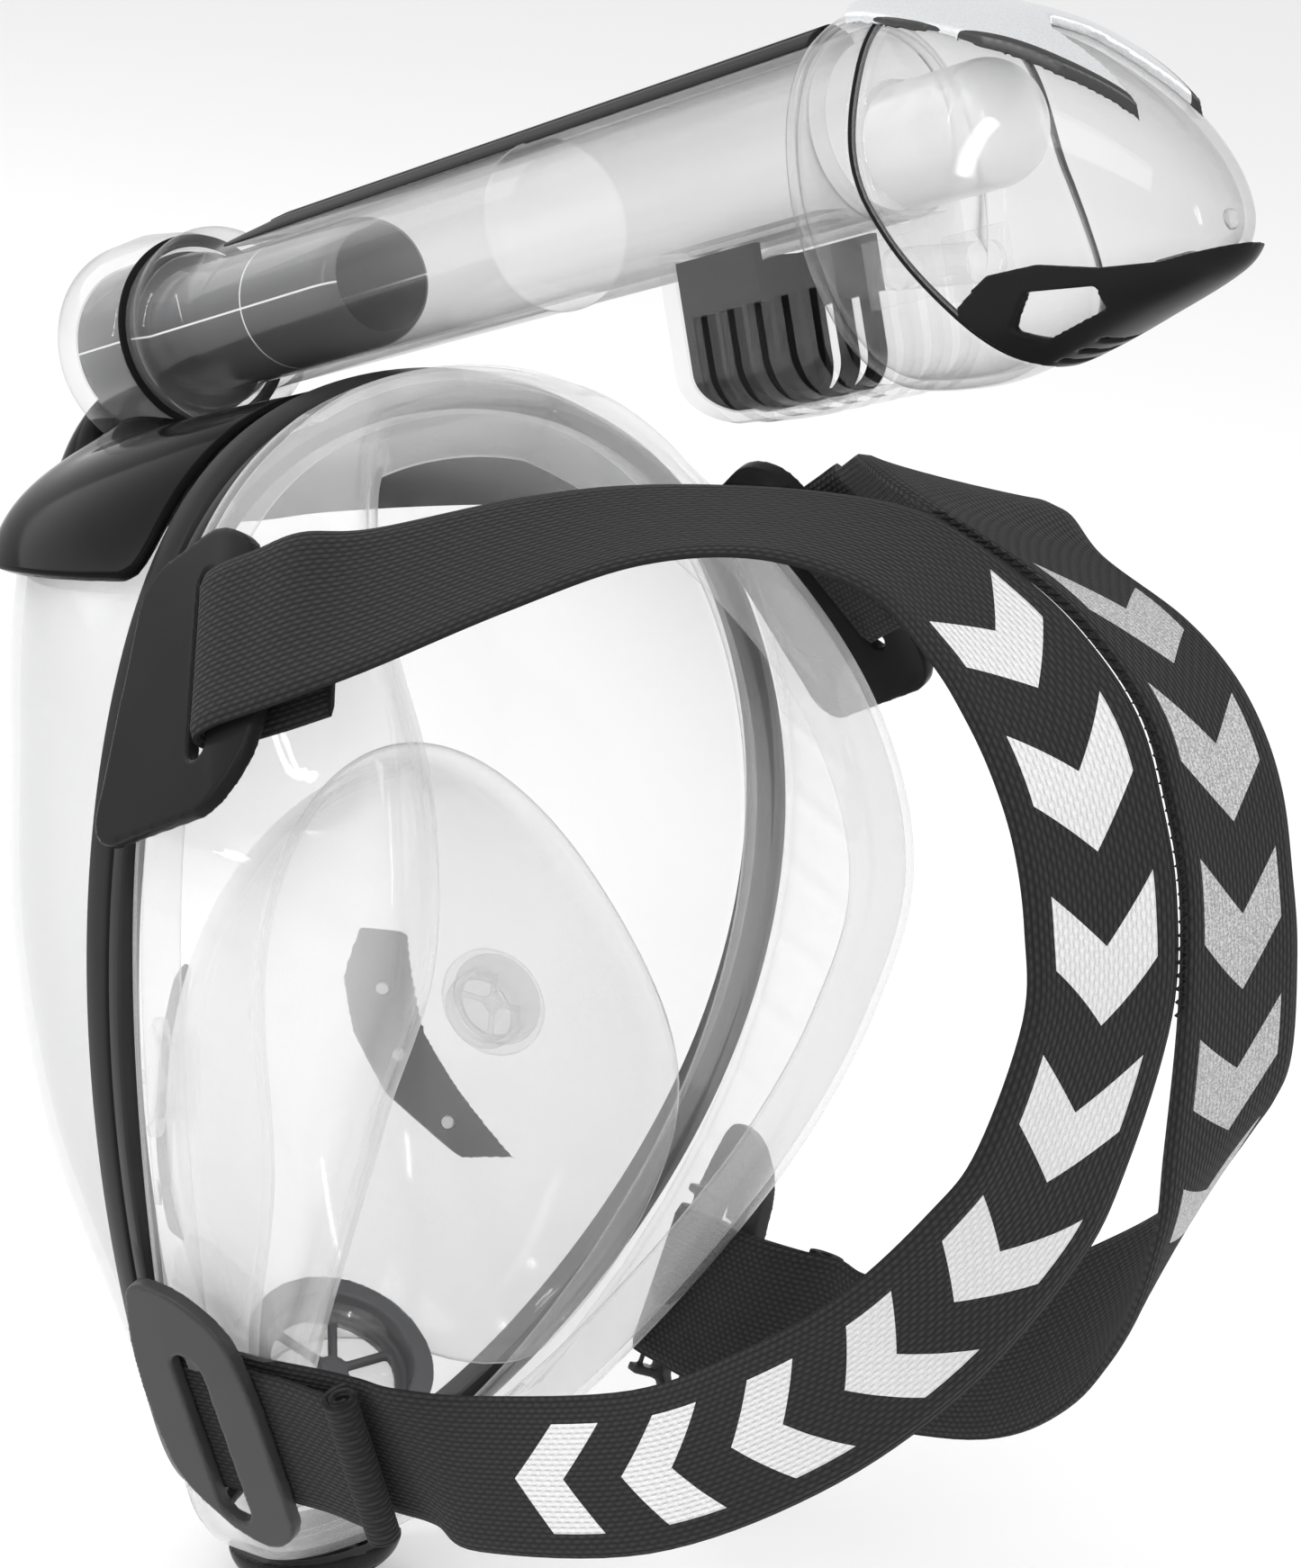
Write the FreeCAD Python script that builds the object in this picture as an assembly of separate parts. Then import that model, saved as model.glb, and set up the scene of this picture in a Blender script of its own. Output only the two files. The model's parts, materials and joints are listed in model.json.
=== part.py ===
import FreeCAD, Part
import math
import os
from FreeCAD import Matrix, Placement, Rotation, Vector

# Full face snorkel mask, in millimetres.
# X runs across the face (+X is the wearer's left), -Y is where the wearer looks, +Z is up.
# The origin is the centre of the face seal ring, in the plane X = 0.

# ---- driving dimensions -------------------------------------------------------------------------
RING_MIDDLE = -9.0          # height of the ring's centre
RING_HALF_HEIGHT = 135.0
RING_SADDLE_RADIUS = 280.0  # the ring bends round the face on this radius
RING_FRONT, RING_REAR = 7.0, 6.0
RING_PROUD = 2.5            # how far the ring stands outside the visor
LENS_WALL = 2.6
LENS_ROUNDNESS = 2.5        # superellipse power of the visor's level sections
LENS_DEPTH = [(-144, 41), (-125, 51), (-105, 58), (-80, 66), (-60, 78), (-40, 89), (0, 98),
              (40, 103), (65, 113), (80, 117), (90, 109), (100, 92), (112, 65), (121, 43), (127, 31)]
LENS_LEVELS = (-141, -132, -118, -98, -75, -50, -20, 15, 45, 68, 82, 93, 104, 114, 121, 124.5)

SKIRT_WALL = 2.2
SKIRT_TAPER = 0.25          # inward lean per millimetre towards the wearer
SKIRT_FRONT, SKIRT_BACK = -45.0, 75.0
SKIRT_REAR_EDGE = [(150, -58), (118, 3), (101, 27.5), (76, 52), (42, 64), (4, 56), (-25, 46),
                   (-51, 34.5), (-85, 17), (-115, -0.5), (-160, -30)]
SEAL_LIP, RIM_LIP = 13.0, 11.0

TUBE_TILT = 23.5            # degrees above level
TUBE_ORIGIN_Z = 166.2       # height of the tube's axis above the ring's centre
TUBE_RADIUS, TUBE_SPREAD, TUBE_WALL = 17.0, 0.005, 1.8
STUB_FACE = -148.0          # stations along the tube's axis
COLLAR_END = -122.0
TUBE_START, TUBE_END = -121.2, 113.5
SPIGOT_END = -50.0
MID_JOINT = 12.0

POD_START = 109.5
POD_STATIONS = [(POD_START, 19.5, -46.5, 23.5), (114, 20.5, -48.5, 25.0), (130, 19.0, -50.0, 25.5),
                (143, 14.5, -48.5, 25.0), (156, 8.0, -46.0, 23.0), (167, 0.5, -43.5, 20.0),
                (176, -7.0, -41.5, 16.5), (184, -16.0, -39.5, 12.0), (189, -24.0, -37.5, 7.5),
                (192, -29.0, -34.0, 2.5)]
POD_SEAM = [(126, 30), (129, 8), (129, -10), (133.5, -23), (141, -38), (150, -60)]

STRAP_WIDTH, STRAP_THICK = 35.5, 2.0
SLOT_LENGTH, SLOT_WIDTH = 41.0, 5.4

# ---- small helpers ------------------------------------------------------------------------------
MIRROR = (Vector(0, 0, 0), Vector(1, 0, 0))
SIDES = (("left", False), ("right", True))


def on_side(shape, mirrored):
    return shape.mirror(*MIRROR) if mirrored else shape


def between(table, value):
    """Cubic curve through a table of (value, result) pairs, with the slopes of its neighbours."""
    xs = [row[0] for row in table]
    ys = [row[1] for row in table]
    i = max(0, min(len(xs) - 2, sum(1 for x in xs if x <= value) - 1))
    slopes = []
    for k in (i, i + 1):
        lo, hi = max(k - 1, 0), min(k + 1, len(xs) - 1)
        slopes.append((ys[hi] - ys[lo]) / (xs[hi] - xs[lo]))
    step = xs[i + 1] - xs[i]
    f = (value - xs[i]) / step
    return (ys[i] * (1 - f) ** 2 * (1 + 2 * f) + ys[i + 1] * f * f * (3 - 2 * f)
            + slopes[0] * step * f * (1 - f) ** 2 - slopes[1] * step * f * f * (1 - f))


def closed_curve(points):
    curve = Part.BSplineCurve()
    curve.interpolate(points, PeriodicFlag=True)
    return Part.Wire([curve.toShape()])


def open_curve(points):
    curve = Part.BSplineCurve()
    curve.interpolate(points)
    return curve.toShape()


def closed_polygon(points):
    return Part.makePolygon(list(points) + [points[0]])


def power(value, exponent):
    return math.copysign(abs(value) ** exponent, value)


def scaled(shape, centre, factors):
    """The shape stretched about a centre by three factors."""
    m = Matrix()
    m.move(centre.negative())
    m.scale(*factors)
    m.move(centre)
    return shape.transformGeometry(m)


def cylinder(radius, start, end):
    return Part.makeCylinder(radius, (end - start).Length, start, end - start)


def tube_along(outer, inner, start, end):
    return cylinder(outer, start, end).cut(cylinder(inner, start, end))


# ---- the ring outline and the saddle it lies on ----------------------------------------------------
def ring_point(turn):
    """Egg outline: widest above the middle, narrow at the chin."""
    s, c = math.sin(turn), math.cos(turn)
    return c * (83.2 + 22.5 * s + 17.0 * s ** 6), RING_MIDDLE + RING_HALF_HEIGHT * s


def half_width(z):
    s = max(-0.9999, min(0.9999, (z - RING_MIDDLE) / RING_HALF_HEIGHT))
    return ring_point(math.asin(s))[0]


def saddle(z):
    return math.sqrt(RING_SADDLE_RADIUS ** 2 - z * z) - RING_SADDLE_RADIUS


def outline(grow, y, count=40):
    """The egg outline grown outwards by a distance, in the plane of one Y."""
    points = []
    for i in range(count):
        turn = 2 * math.pi * (i + 0.5) / count
        x, z = ring_point(turn)
        ahead, behind = ring_point(turn + 0.01), ring_point(turn - 0.01)
        dx, dz = ahead[0] - behind[0], ahead[1] - behind[1]
        size = math.hypot(dx, dz)
        points.append(Vector(x + grow * dz / size, y, z - grow * dx / size))
    return closed_curve(points)


def egg_prism(grow, y0=-70.0, y1=40.0):
    return Part.makeLoft([outline(grow, y0), outline(grow, y1)], True, True)


def skirt_cone(grow):
    return Part.makeLoft([outline(grow - SKIRT_TAPER * SKIRT_FRONT, SKIRT_FRONT),
                          outline(grow - SKIRT_TAPER * SKIRT_BACK, SKIRT_BACK)], True, True)


def curved_block(front_edge, rear_edge, reach=190.0):
    """A block across the whole width between two edges drawn in the Y-Z plane."""
    first, last = front_edge.Vertexes[0].Point, front_edge.Vertexes[-1].Point
    start, end = rear_edge.Vertexes[0].Point, rear_edge.Vertexes[-1].Point
    wire = Part.Wire(Part.__sortEdges__([front_edge, Part.makeLine(last, end), rear_edge,
                                         Part.makeLine(start, first)]))
    return Part.Face(wire).extrude(Vector(2 * reach, 0, 0))


def saddle_edge(shift, reach=190.0, half=185.0):
    ends = [Vector(-reach, saddle(z) + shift, z) for z in (-half, 0, half)]
    return Part.Arc(*ends).toShape()


def saddle_slab(front, rear):
    return curved_block(saddle_edge(front), saddle_edge(rear))


def rear_edge(shift, reach=190.0):
    return open_curve([Vector(-reach, y + shift, z) for z, y in reversed(SKIRT_REAR_EDGE)])


def straight_edge(y, reach=190.0):
    return Part.makeLine(Vector(-reach, y, -170), Vector(-reach, y, 160))


# ---- visor -------------------------------------------------------------------------------------
def lens_section(z, back=14.0):
    """Level section: a superellipse in front of the ring, closed straight across behind it."""
    wide, rear, deep = half_width(z), saddle(z), between(LENS_DEPTH, z)
    front = []
    for i in range(17):
        turn = math.pi * i / 16
        front.append(Vector(wide * power(math.cos(turn), 2 / LENS_ROUNDNESS),
                            rear - (deep + rear) * power(math.sin(turn), 2 / LENS_ROUNDNESS), z))
    corners = [Vector(-wide, back, z), Vector(wide, back, z)]
    return Part.Wire([open_curve(front), Part.makeLine(front[-1], corners[0]),
                      Part.makeLine(corners[0], corners[1]), Part.makeLine(corners[1], front[0])])


LENS_CENTRE = Vector(0, 14, RING_MIDDLE)


def lens_envelope(grow):
    if not hasattr(lens_envelope, "solid"):
        lens_envelope.solid = Part.makeLoft([lens_section(z) for z in LENS_LEVELS], True, False)
    factors = [1 + grow / 86.0, 1 + grow / 114.0, 1 + grow / RING_HALF_HEIGHT]
    return scaled(lens_envelope.solid, LENS_CENTRE, factors)


def make_visor_lens():
    lens = lens_envelope(0.0).cut(lens_envelope(-LENS_WALL)).common(saddle_slab(-170, 0))
    air_hole = cylinder(9.0, Vector(0, -135, 84), Vector(0, -95, 84))
    return lens.cut(air_hole)


def make_frame_ring():
    outer = egg_prism(RING_PROUD)
    channel = outer.cut(egg_prism(0.15)).common(saddle_slab(-RING_FRONT, 0.15))
    backing = outer.cut(egg_prism(-3.0)).common(saddle_slab(0.15, RING_REAR - 0.1))
    return channel.fuse(backing).removeSplitter()


def make_face_skirt():
    front = saddle_edge(RING_REAR)
    outer = skirt_cone(0.0)
    wall = outer.cut(skirt_cone(-SKIRT_WALL)).common(curved_block(front, rear_edge(0)))
    seal = outer.cut(skirt_cone(-SEAL_LIP)).common(curved_block(rear_edge(-2.2), rear_edge(0)))
    rim = outer.cut(skirt_cone(-RIM_LIP)).common(saddle_slab(RING_REAR, RING_REAR + 2.4))
    return wall.fuse(seal).fuse(rim)


# ---- snorkel frame: x across, s along the tube, u up from it ----------------------------------------
def seat(shape):
    """Moves a piece drawn about the Y axis onto the snorkel's own axis."""
    placed = shape.copy()
    placed.Placement = Placement(Vector(0, 0, TUBE_ORIGIN_Z), Rotation(Vector(1, 0, 0), TUBE_TILT))
    return placed


def spot(x, s, u):
    tilt = math.radians(TUBE_TILT)
    return Vector(x, s * math.cos(tilt) - u * math.sin(tilt),
                  TUBE_ORIGIN_Z + s * math.sin(tilt) + u * math.cos(tilt))


def turned(profile):
    """A solid of revolution about the tube's axis from (station, radius) points."""
    wire = closed_polygon([Vector(r, s, 0) for s, r in profile])
    return seat(Part.Face(wire).revolve(Vector(0, 0, 0), Vector(0, 1, 0), 360))


def tube_radius(s):
    return TUBE_RADIUS + TUBE_SPREAD * s


def make_snorkel_tube():
    wall = TUBE_WALL
    start, end = TUBE_START, TUBE_END
    profile = [(start, 22.0), (start + 8, 22.4), (start + 12, 19.8), (start + 20, tube_radius(start + 20)),
               (MID_JOINT - 1.5, tube_radius(MID_JOINT)), (MID_JOINT - 1.5, tube_radius(MID_JOINT) + 0.25),
               (MID_JOINT + 1.5, tube_radius(MID_JOINT) + 0.25), (MID_JOINT + 1.5, tube_radius(MID_JOINT)),
               (end, tube_radius(end)), (end, tube_radius(end) - wall),
               (start, tube_radius(start) - wall)]
    return turned(profile)


def make_elbow_collar():
    collar = turned([(STUB_FACE, 0), (STUB_FACE, 21.6), (STUB_FACE + 2.5, 24.0), (STUB_FACE + 15, 24.5),
                     (COLLAR_END, 22.2), (COLLAR_END, 19.0), (STUB_FACE + 1.8, 19.0), (STUB_FACE + 1.8, 0)])
    return collar.cut(cylinder(14.0, spot(0, STUB_FACE - 2, -4), spot(0, STUB_FACE + 4, -4)))


def make_seal_ring():
    return turned([(COLLAR_END, 22.0), (TUBE_START - 0.1, 22.0), (TUBE_START - 0.1, 19.2), (COLLAR_END, 19.2)])


def make_tube_spigot():
    """Black inner sleeve: a stepped root under the collar and a plain end inside the tube."""
    inner = tube_radius(TUBE_START) - TUBE_WALL - 0.5
    root = STUB_FACE + 2.0
    sleeve = turned([(root, 18.8), (COLLAR_END - 2, 18.8), (COLLAR_END, inner), (SPIGOT_END - 3, inner),
                     (SPIGOT_END, inner - 2.4), (SPIGOT_END, inner - 2.8), (root, inner - 2.8)])
    return sleeve


def make_tube_stripe():
    """Half-round bar that lies along the crown of the tube and tapers to a point at the foot."""
    rings = []
    for s, half, lift in ((-99.5, 1.0, 0.5), (-90, 3.6, 1.6), (-74, 5.2, 2.4), (0, 5.4, 2.4), (101, 5.6, 2.2)):
        base = tube_radius(s) + 0.34
        reach = math.asin(half / base)
        low = [Vector(base * math.sin(a), s, base * math.cos(a)) for a in (-reach, 0, reach)]
        top = [Vector(half * k, s, base * math.cos(reach * k) + lift * (1 - k * k) + 0.12)
               for k in (0.92, 0, -0.92)]
        rings.append(Part.Wire([Part.Arc(*low).toShape(), Part.makeLine(low[-1], top[0]),
                                Part.Arc(*top).toShape(), Part.makeLine(top[-1], low[0])]))
    return seat(Part.makeLoft(rings, True, True))


def pod_section(s, top, bottom, half, power_of=2.3, count=24):
    """Rounded cross-section of the snorkel's head, wider at the crown than at the keel."""
    points = []
    middle, tall = (top + bottom) / 2, (top - bottom) / 2
    for i in range(count):
        turn = 2 * math.pi * (i + 0.5) / count
        up = power(math.sin(turn), 2 / power_of)
        narrow = 1 - 0.14 * max(0.0, -up)
        points.append(Vector(half * narrow * power(math.cos(turn), 2 / power_of), s, middle + tall * up))
    return closed_curve(points)


def pod(grow):
    """The head's outer form; negative growth gives its inside."""
    rings = [pod_section(s + grow * (1 if s > 150 else 0), top + grow, bottom - grow, half + grow)
             for s, top, bottom, half in POD_STATIONS if half + grow > 1.0]
    return Part.makeLoft(rings, True, False)


def seam_edge(shift, reach=60.0):
    return open_curve([Vector(-reach, s + shift, u) for s, u in POD_SEAM])


def seam_block(front, rear, reach=60.0):
    """Everything between two copies of the head's curved seam."""
    return curved_block(seam_edge(front, reach), seam_edge(rear, reach), reach)


def make_cap_base():
    shell = pod(0.0).cut(pod(-1.8)).common(seam_block(-60, -0.5))
    front_wall = pod(-0.9).common(Part.makeBox(80, 2.2, 90, Vector(-40, POD_START, -60)))
    tube_hole = Part.makeCylinder(tube_radius(TUBE_END) + 0.05, 20, Vector(0, POD_START - 5, 0), Vector(0, 1, 0))
    air = Part.makeBox(26, 8, 18, Vector(-13, POD_START - 3, -43))
    return seat(shell.fuse(front_wall).cut(tube_hole).cut(air))


def make_cap_gasket():
    return seat(pod(0.04).cut(pod(-2.0)).common(seam_block(-0.4, 0.4)))


def make_cap_dome():
    return seat(pod(0.0).cut(pod(-1.8)).common(seam_block(0.5, 120)))


def make_top_bar():
    """Silver spoiler on the crown of the head: one broad strip that forks into two prongs."""
    skin = pod(1.5).cut(pod(0.08)).common(Part.makeBox(80, 90, 80, Vector(-40, 110, -24)))
    half_plan = [(0, 119), (10, 117.5), (14.5, 121), (15.5, 136), (14.5, 154), (11.5, 168), (7.5, 181),
                 (5.5, 172), (4.5, 161), (0, 156)]
    plan = half_plan + [(-x, s) for x, s in reversed(half_plan[1:-1])]
    cutter = Part.Face(closed_polygon([Vector(x, s, -14) for x, s in plan])).extrude(Vector(0, 0, 60))
    return seat(skin.common(cutter))


def make_lower_trim():
    """Black cup under the head, with a window each side and a row of drain slots."""
    skin = pod(1.6).cut(pod(0.08)).common(seam_block(1.2, 120))
    edge = [(136, -62), (138.5, -44), (144, -37), (153, -33), (163, -33), (173, -35.5), (183, -36.5),
            (196, -35.5), (196, -62)]
    side = Part.Face(closed_polygon([Vector(-60, s, u) for s, u in edge])).extrude(Vector(120, 0, 0))
    trim = skin.common(side)
    window = [(151, -42.5), (158.5, -37), (171, -38.3), (169, -42), (155, -45)]
    trim = trim.cut(Part.Face(closed_polygon([Vector(-60, s, u) for s, u in window])).extrude(Vector(120, 0, 0)))
    for i in range(3):
        trim = trim.cut(Part.makeBox(9, 2.0, 14, Vector(-4.5, 150 + 5.0 * i, -56)))
    return seat(trim)


VENT_START, VENT_END, VENT_TOP, VENT_FLOOR, VENT_HALF = 63.0, 109.2, -14.0, -48.0, 17.5


def vent_box(grow, start, end):
    """Block under the tube with its lower corners rounded."""
    half, floor, top = VENT_HALF + grow, VENT_FLOOR - grow, VENT_TOP + grow * 0.2
    block = Part.makeBox(2 * half, end - start, top - floor, Vector(-half, start, floor))
    low = [e for e in block.Edges if abs(e.BoundBox.ZMax - floor) < 1e-3
           and (e.BoundBox.YLength > 5 or abs(e.BoundBox.YMin - start) < 1e-3)]
    return block.makeFillet(11.0 + grow, low)


def vent_slots(start, count, pitch):
    """Slots through both flanks and round the lower corners; a keel stays along the middle."""
    cuts = []
    for i in range(count):
        s = start + pitch * i
        for side in (-1, 1):
            corner = Vector(5.0 if side > 0 else -45.0, s, VENT_FLOOR - 6)
            cuts.append(Part.makeBox(40, 4.2, 27.0, corner))
    return Part.makeCompound(cuts)


def make_vent_block():
    hollow = vent_box(-1.9, VENT_START + 1.9, VENT_END + 1)
    block = vent_box(0.0, VENT_START, VENT_END).cut(hollow).cut(vent_slots(VENT_START + 7.5, 5, 7.8))
    bore = Part.makeCylinder(tube_radius(VENT_END) + 0.05, 80, Vector(0, VENT_START - 5, 0), Vector(0, 1, 0))
    lid = Part.makeBox(2 * VENT_HALF - 1, VENT_END - VENT_START - 2, 1.6,
                       Vector(-VENT_HALF + 0.5, VENT_START + 1, VENT_TOP - 1.7))
    return seat(block.fuse(lid).cut(bore))


def make_vent_frame():
    """Black liner inside the front of the vent block."""
    outer = vent_box(-2.2, VENT_START + 2.4, VENT_START + 25)
    inner = vent_box(-4.0, VENT_START + 4.2, VENT_START + 30)
    below = Part.makeBox(80, 80, 60, Vector(-40, VENT_START, VENT_TOP - 62.2))
    frame = outer.cut(inner).common(below)
    tube = Part.makeCylinder(tube_radius(VENT_START + 25) + 0.25, 60, Vector(0, VENT_START - 5, 0), Vector(0, 1, 0))
    return seat(frame.cut(vent_slots(VENT_START + 7.5, 5, 7.8)).cut(tube))


FLOAT_START, FLOAT_END, FLOAT_RADIUS, FLOAT_U = 116.4, 146.0, 11.5, -5.0


def make_float():
    body = [(FLOAT_START, 0), (FLOAT_START, FLOAT_RADIUS), (FLOAT_END - 5, FLOAT_RADIUS),
            (FLOAT_END - 1.5, FLOAT_RADIUS - 2.6), (FLOAT_END, FLOAT_RADIUS - 6.0), (FLOAT_END, 0)]
    wire = closed_polygon([Vector(r, s, 0) for s, r in body])
    solid = Part.Face(wire).revolve(Vector(0, 0, 0), Vector(0, 1, 0), 360)
    solid.translate(Vector(0, 0, FLOAT_U))
    return seat(solid)


def make_float_seal():
    disc = Part.makeCylinder(FLOAT_RADIUS + 1.2, 2.4, Vector(0, FLOAT_START - 2.5, FLOAT_U), Vector(0, 1, 0))
    return seat(disc)


def make_float_guide():
    """Fixed cross pin under the float with the two cheeks that carry it."""
    pin = Part.makeCylinder(3.8, 24, Vector(-12, 121, -27), Vector(1, 0, 0))
    cheeks = [Part.makeBox(1.8, 16, 12, Vector(x, 111.8, -33)) for x in (-10.6, 8.8)]
    return seat(pin.fuse(cheeks[0]).fuse(cheeks[1]))


# ---- snorkel socket on the visor's brow ---------------------------------------------------------------
def level_oval(z, half, front, back, count=28):
    points = []
    for i in range(count):
        turn = 2 * math.pi * (i + 0.5) / count
        points.append(Vector(half * power(math.cos(turn), 0.8),
                             (front + back) / 2 + (back - front) / 2 * power(math.sin(turn), 0.8), z))
    return closed_curve(points)


# Level sections of the air duct: height, half width, front and back.
DUCT_LEVELS = [(50, 27.0, -150.0, -88.0), (78, 27.0, -150.0, -90.0), (94, 26.5, -149.5, -94.0),
               (103, 24.5, -147.0, -98.0), (110, 21.0, -143.0, -104.0), (115, 15.0, -139.5, -112.0)]
COWL_FRONT, COWL_EDGE, COWL_RISE = -146.0, 60.5, 0.285


def duct(grow):
    return Part.makeLoft([level_oval(z + (grow if z > 94 else 0), half + grow, front - grow, back + grow)
                          for z, half, front, back in DUCT_LEVELS], True, False)


def collar_zone():
    return cylinder(24.8, spot(0, STUB_FACE - 0.2, 0), spot(0, -60, 0))


def make_snorkel_socket():
    """Black cowl over the visor's brow with the hollow duct that carries the collar."""
    cowl = lens_envelope(3.2).cut(lens_envelope(0.4))
    keep = Part.makeBox(300, 400, 200, Vector(-150, -100, 0))
    keep.rotate(Vector(0, 0, 0), Vector(1, 0, 0), math.degrees(math.atan(COWL_RISE)))
    keep.translate(Vector(0, COWL_FRONT, COWL_EDGE))
    body = cowl.fuse(duct(0.0).cut(lens_envelope(0.4))).common(keep)
    body = body.common(saddle_slab(-170, -RING_FRONT - 0.2))
    return body.cut(duct(-3.0)).cut(collar_zone())


# ---- inner oral pocket, its valves and retainers --------------------------------------------------------
POCKET_CENTRE, POCKET_RADII, POCKET_WALL = Vector(0, 10, -35), (54.0, 85.0, 88.0), 2.0


def pocket_form(grow):
    ball = Part.makeSphere(1.0)
    m = Matrix()
    m.scale(*[r + grow for r in POCKET_RADII])
    m.move(POCKET_CENTRE)
    return ball.transformGeometry(m)


def pocket_surface(x, z, grow=0.0):
    a, b, c = [r + grow for r in POCKET_RADII]
    inside = 1 - (x / a) ** 2 - ((z - POCKET_CENTRE.z) / c) ** 2
    return Vector(x, POCKET_CENTRE.y - b * math.sqrt(max(inside, 0.0)), z)


def pocket_normal(x, z):
    p = pocket_surface(x, z) - POCKET_CENTRE
    n = Vector(p.x / POCKET_RADII[0] ** 2, p.y / POCKET_RADII[1] ** 2, p.z / POCKET_RADII[2] ** 2)
    return n.normalize()


VALVE_X, VALVE_Z, VALVE_RADIUS = 43.0, -29.0, 11.0


def valve_axis():
    """Centre of a cheek valve on the pocket's wall, and the way it faces."""
    return pocket_surface(VALVE_X, VALVE_Z), pocket_normal(VALVE_X, VALVE_Z)


def make_nose_pocket():
    """Cup over nose and mouth: its rim slopes from the nose bridge down to both cheeks."""
    shell = pocket_form(0.0).cut(pocket_form(-POCKET_WALL))
    rim = [(-200, 60), (-29, 60), (-27, 46), (-8, 12), (14, -24), (10, -60), (-6, -104), (-200, -104)]
    keep = Part.Face(closed_polygon([Vector(-80, y, z) for y, z in rim])).extrude(Vector(160, 0, 0))
    pocket = shell.common(keep)
    centre, axis = valve_axis()
    hole = cylinder(VALVE_RADIUS - 1.5, centre - axis * 12, centre + axis * 12)
    pocket = pocket.cut(hole).cut(hole.mirror(*MIRROR))
    return pocket.cut(cylinder(CHIN_RADIUS + 2.5, chin(-20), chin(30)))


def make_valve_seat():
    centre, axis = valve_axis()
    ring = tube_along(VALVE_RADIUS + 2.2, VALVE_RADIUS - 2.0, centre + axis * 2.2, centre + axis * 4.4)
    collar = tube_along(VALVE_RADIUS - 1.6, VALVE_RADIUS - 3.2, centre - axis * 3.0, centre + axis * 3.0)
    side = axis.cross(Vector(0, 0, 1)).normalize()
    up = side.cross(axis).normalize()
    spokes = [cylinder(0.75, centre - d * (VALVE_RADIUS - 0.9) + axis * 3.25,
                       centre + d * (VALVE_RADIUS - 0.9) + axis * 3.25) for d in (side, up)]
    hub = cylinder(2.1, centre + axis * 2.0, centre + axis * 4.5)
    return ring.fuse(collar).fuse(spokes[0]).fuse(spokes[1]).fuse(hub)


def make_valve_flap():
    centre, axis = valve_axis()
    disc = cylinder(VALVE_RADIUS + 0.4, centre + axis * 4.75, centre + axis * 5.55)
    return disc.fuse(cylinder(1.6, centre + axis * 5.5, centre + axis * 6.9))


RETAINER_LINE = [(27.5, -15), (28.0, -28), (30.5, -41), (35.5, -54), (42.5, -65)]
STUD_SPOTS = [(28.3, -30), (31.6, -46), (38.0, -59.5)]


def make_retainer_strip():
    """Grey strip clipped on the front of the pocket, cut from a skin that follows its wall."""
    left, right = [], []
    for i, (x, z) in enumerate(RETAINER_LINE):
        before, after = RETAINER_LINE[max(i - 1, 0)], RETAINER_LINE[min(i + 1, len(RETAINER_LINE) - 1)]
        dx, dz = after[0] - before[0], after[1] - before[1]
        size = math.hypot(dx, dz)
        half = 5.6 if 0 < i < len(RETAINER_LINE) - 1 else 3.6
        left.append(Vector(x - half * dz / size, -120, z + half * dx / size))
        right.append(Vector(x + half * dz / size, -120, z - half * dx / size))
    face = Part.Face(closed_polygon(left + right[::-1]))
    skin = pocket_form(2.6).cut(pocket_form(0.3))
    strip = skin.common(face.extrude(Vector(0, 125, 0)))
    for x, z in STUD_SPOTS:
        base, axis = pocket_surface(x, z), pocket_normal(x, z)
        strip = strip.cut(cylinder(1.7, base - axis * 2, base + axis * 5))
    return strip


def make_retainer_studs():
    studs = []
    for x, z in STUD_SPOTS:
        base, axis = pocket_surface(x, z), pocket_normal(x, z)
        stem = cylinder(1.55, base + axis * 0.1, base + axis * 3.0)
        head = Part.makeSphere(3.0, base + axis * 2.6).common(cylinder(4.0, base + axis * 2.8, base + axis * 7))
        studs.append(stem.fuse(head))
    return Part.makeCompound(studs + [s.mirror(*MIRROR) for s in studs])


# ---- chin outlet valve and drain cover -------------------------------------------------------------------
CHIN_CENTRE, CHIN_AXIS = Vector(0, -33.5, -113), Vector(0, 0.42, 0.907)
CHIN_RADIUS = 20.0


def chin(distance):
    return CHIN_CENTRE + CHIN_AXIS * distance


def make_chin_housing():
    """Round outlet: a stepped ring with a hub and six spokes."""
    ring = tube_along(CHIN_RADIUS, CHIN_RADIUS - 2.4, chin(0), chin(12))
    flange = tube_along(CHIN_RADIUS + 2.4, CHIN_RADIUS - 1.0, chin(9.6), chin(12))
    shelf = tube_along(CHIN_RADIUS - 2.0, CHIN_RADIUS - 5.0, chin(4.0), chin(6.0))
    body = ring.fuse(flange).fuse(shelf).fuse(cylinder(3.6, chin(3.4), chin(6.4)))
    for i in range(6):
        turn = Rotation(CHIN_AXIS, 60.0 * i)
        arm = turn.multVec(Vector(1, 0, 0)) * (CHIN_RADIUS - 3.6)
        body = body.fuse(cylinder(1.2, chin(5.0), chin(5.0) + arm))
    return body


def make_chin_flap():
    disc = cylinder(CHIN_RADIUS - 3.2, chin(2.2), chin(3.1))
    return disc.fuse(cylinder(1.6, chin(0.9), chin(2.3)))


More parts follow.
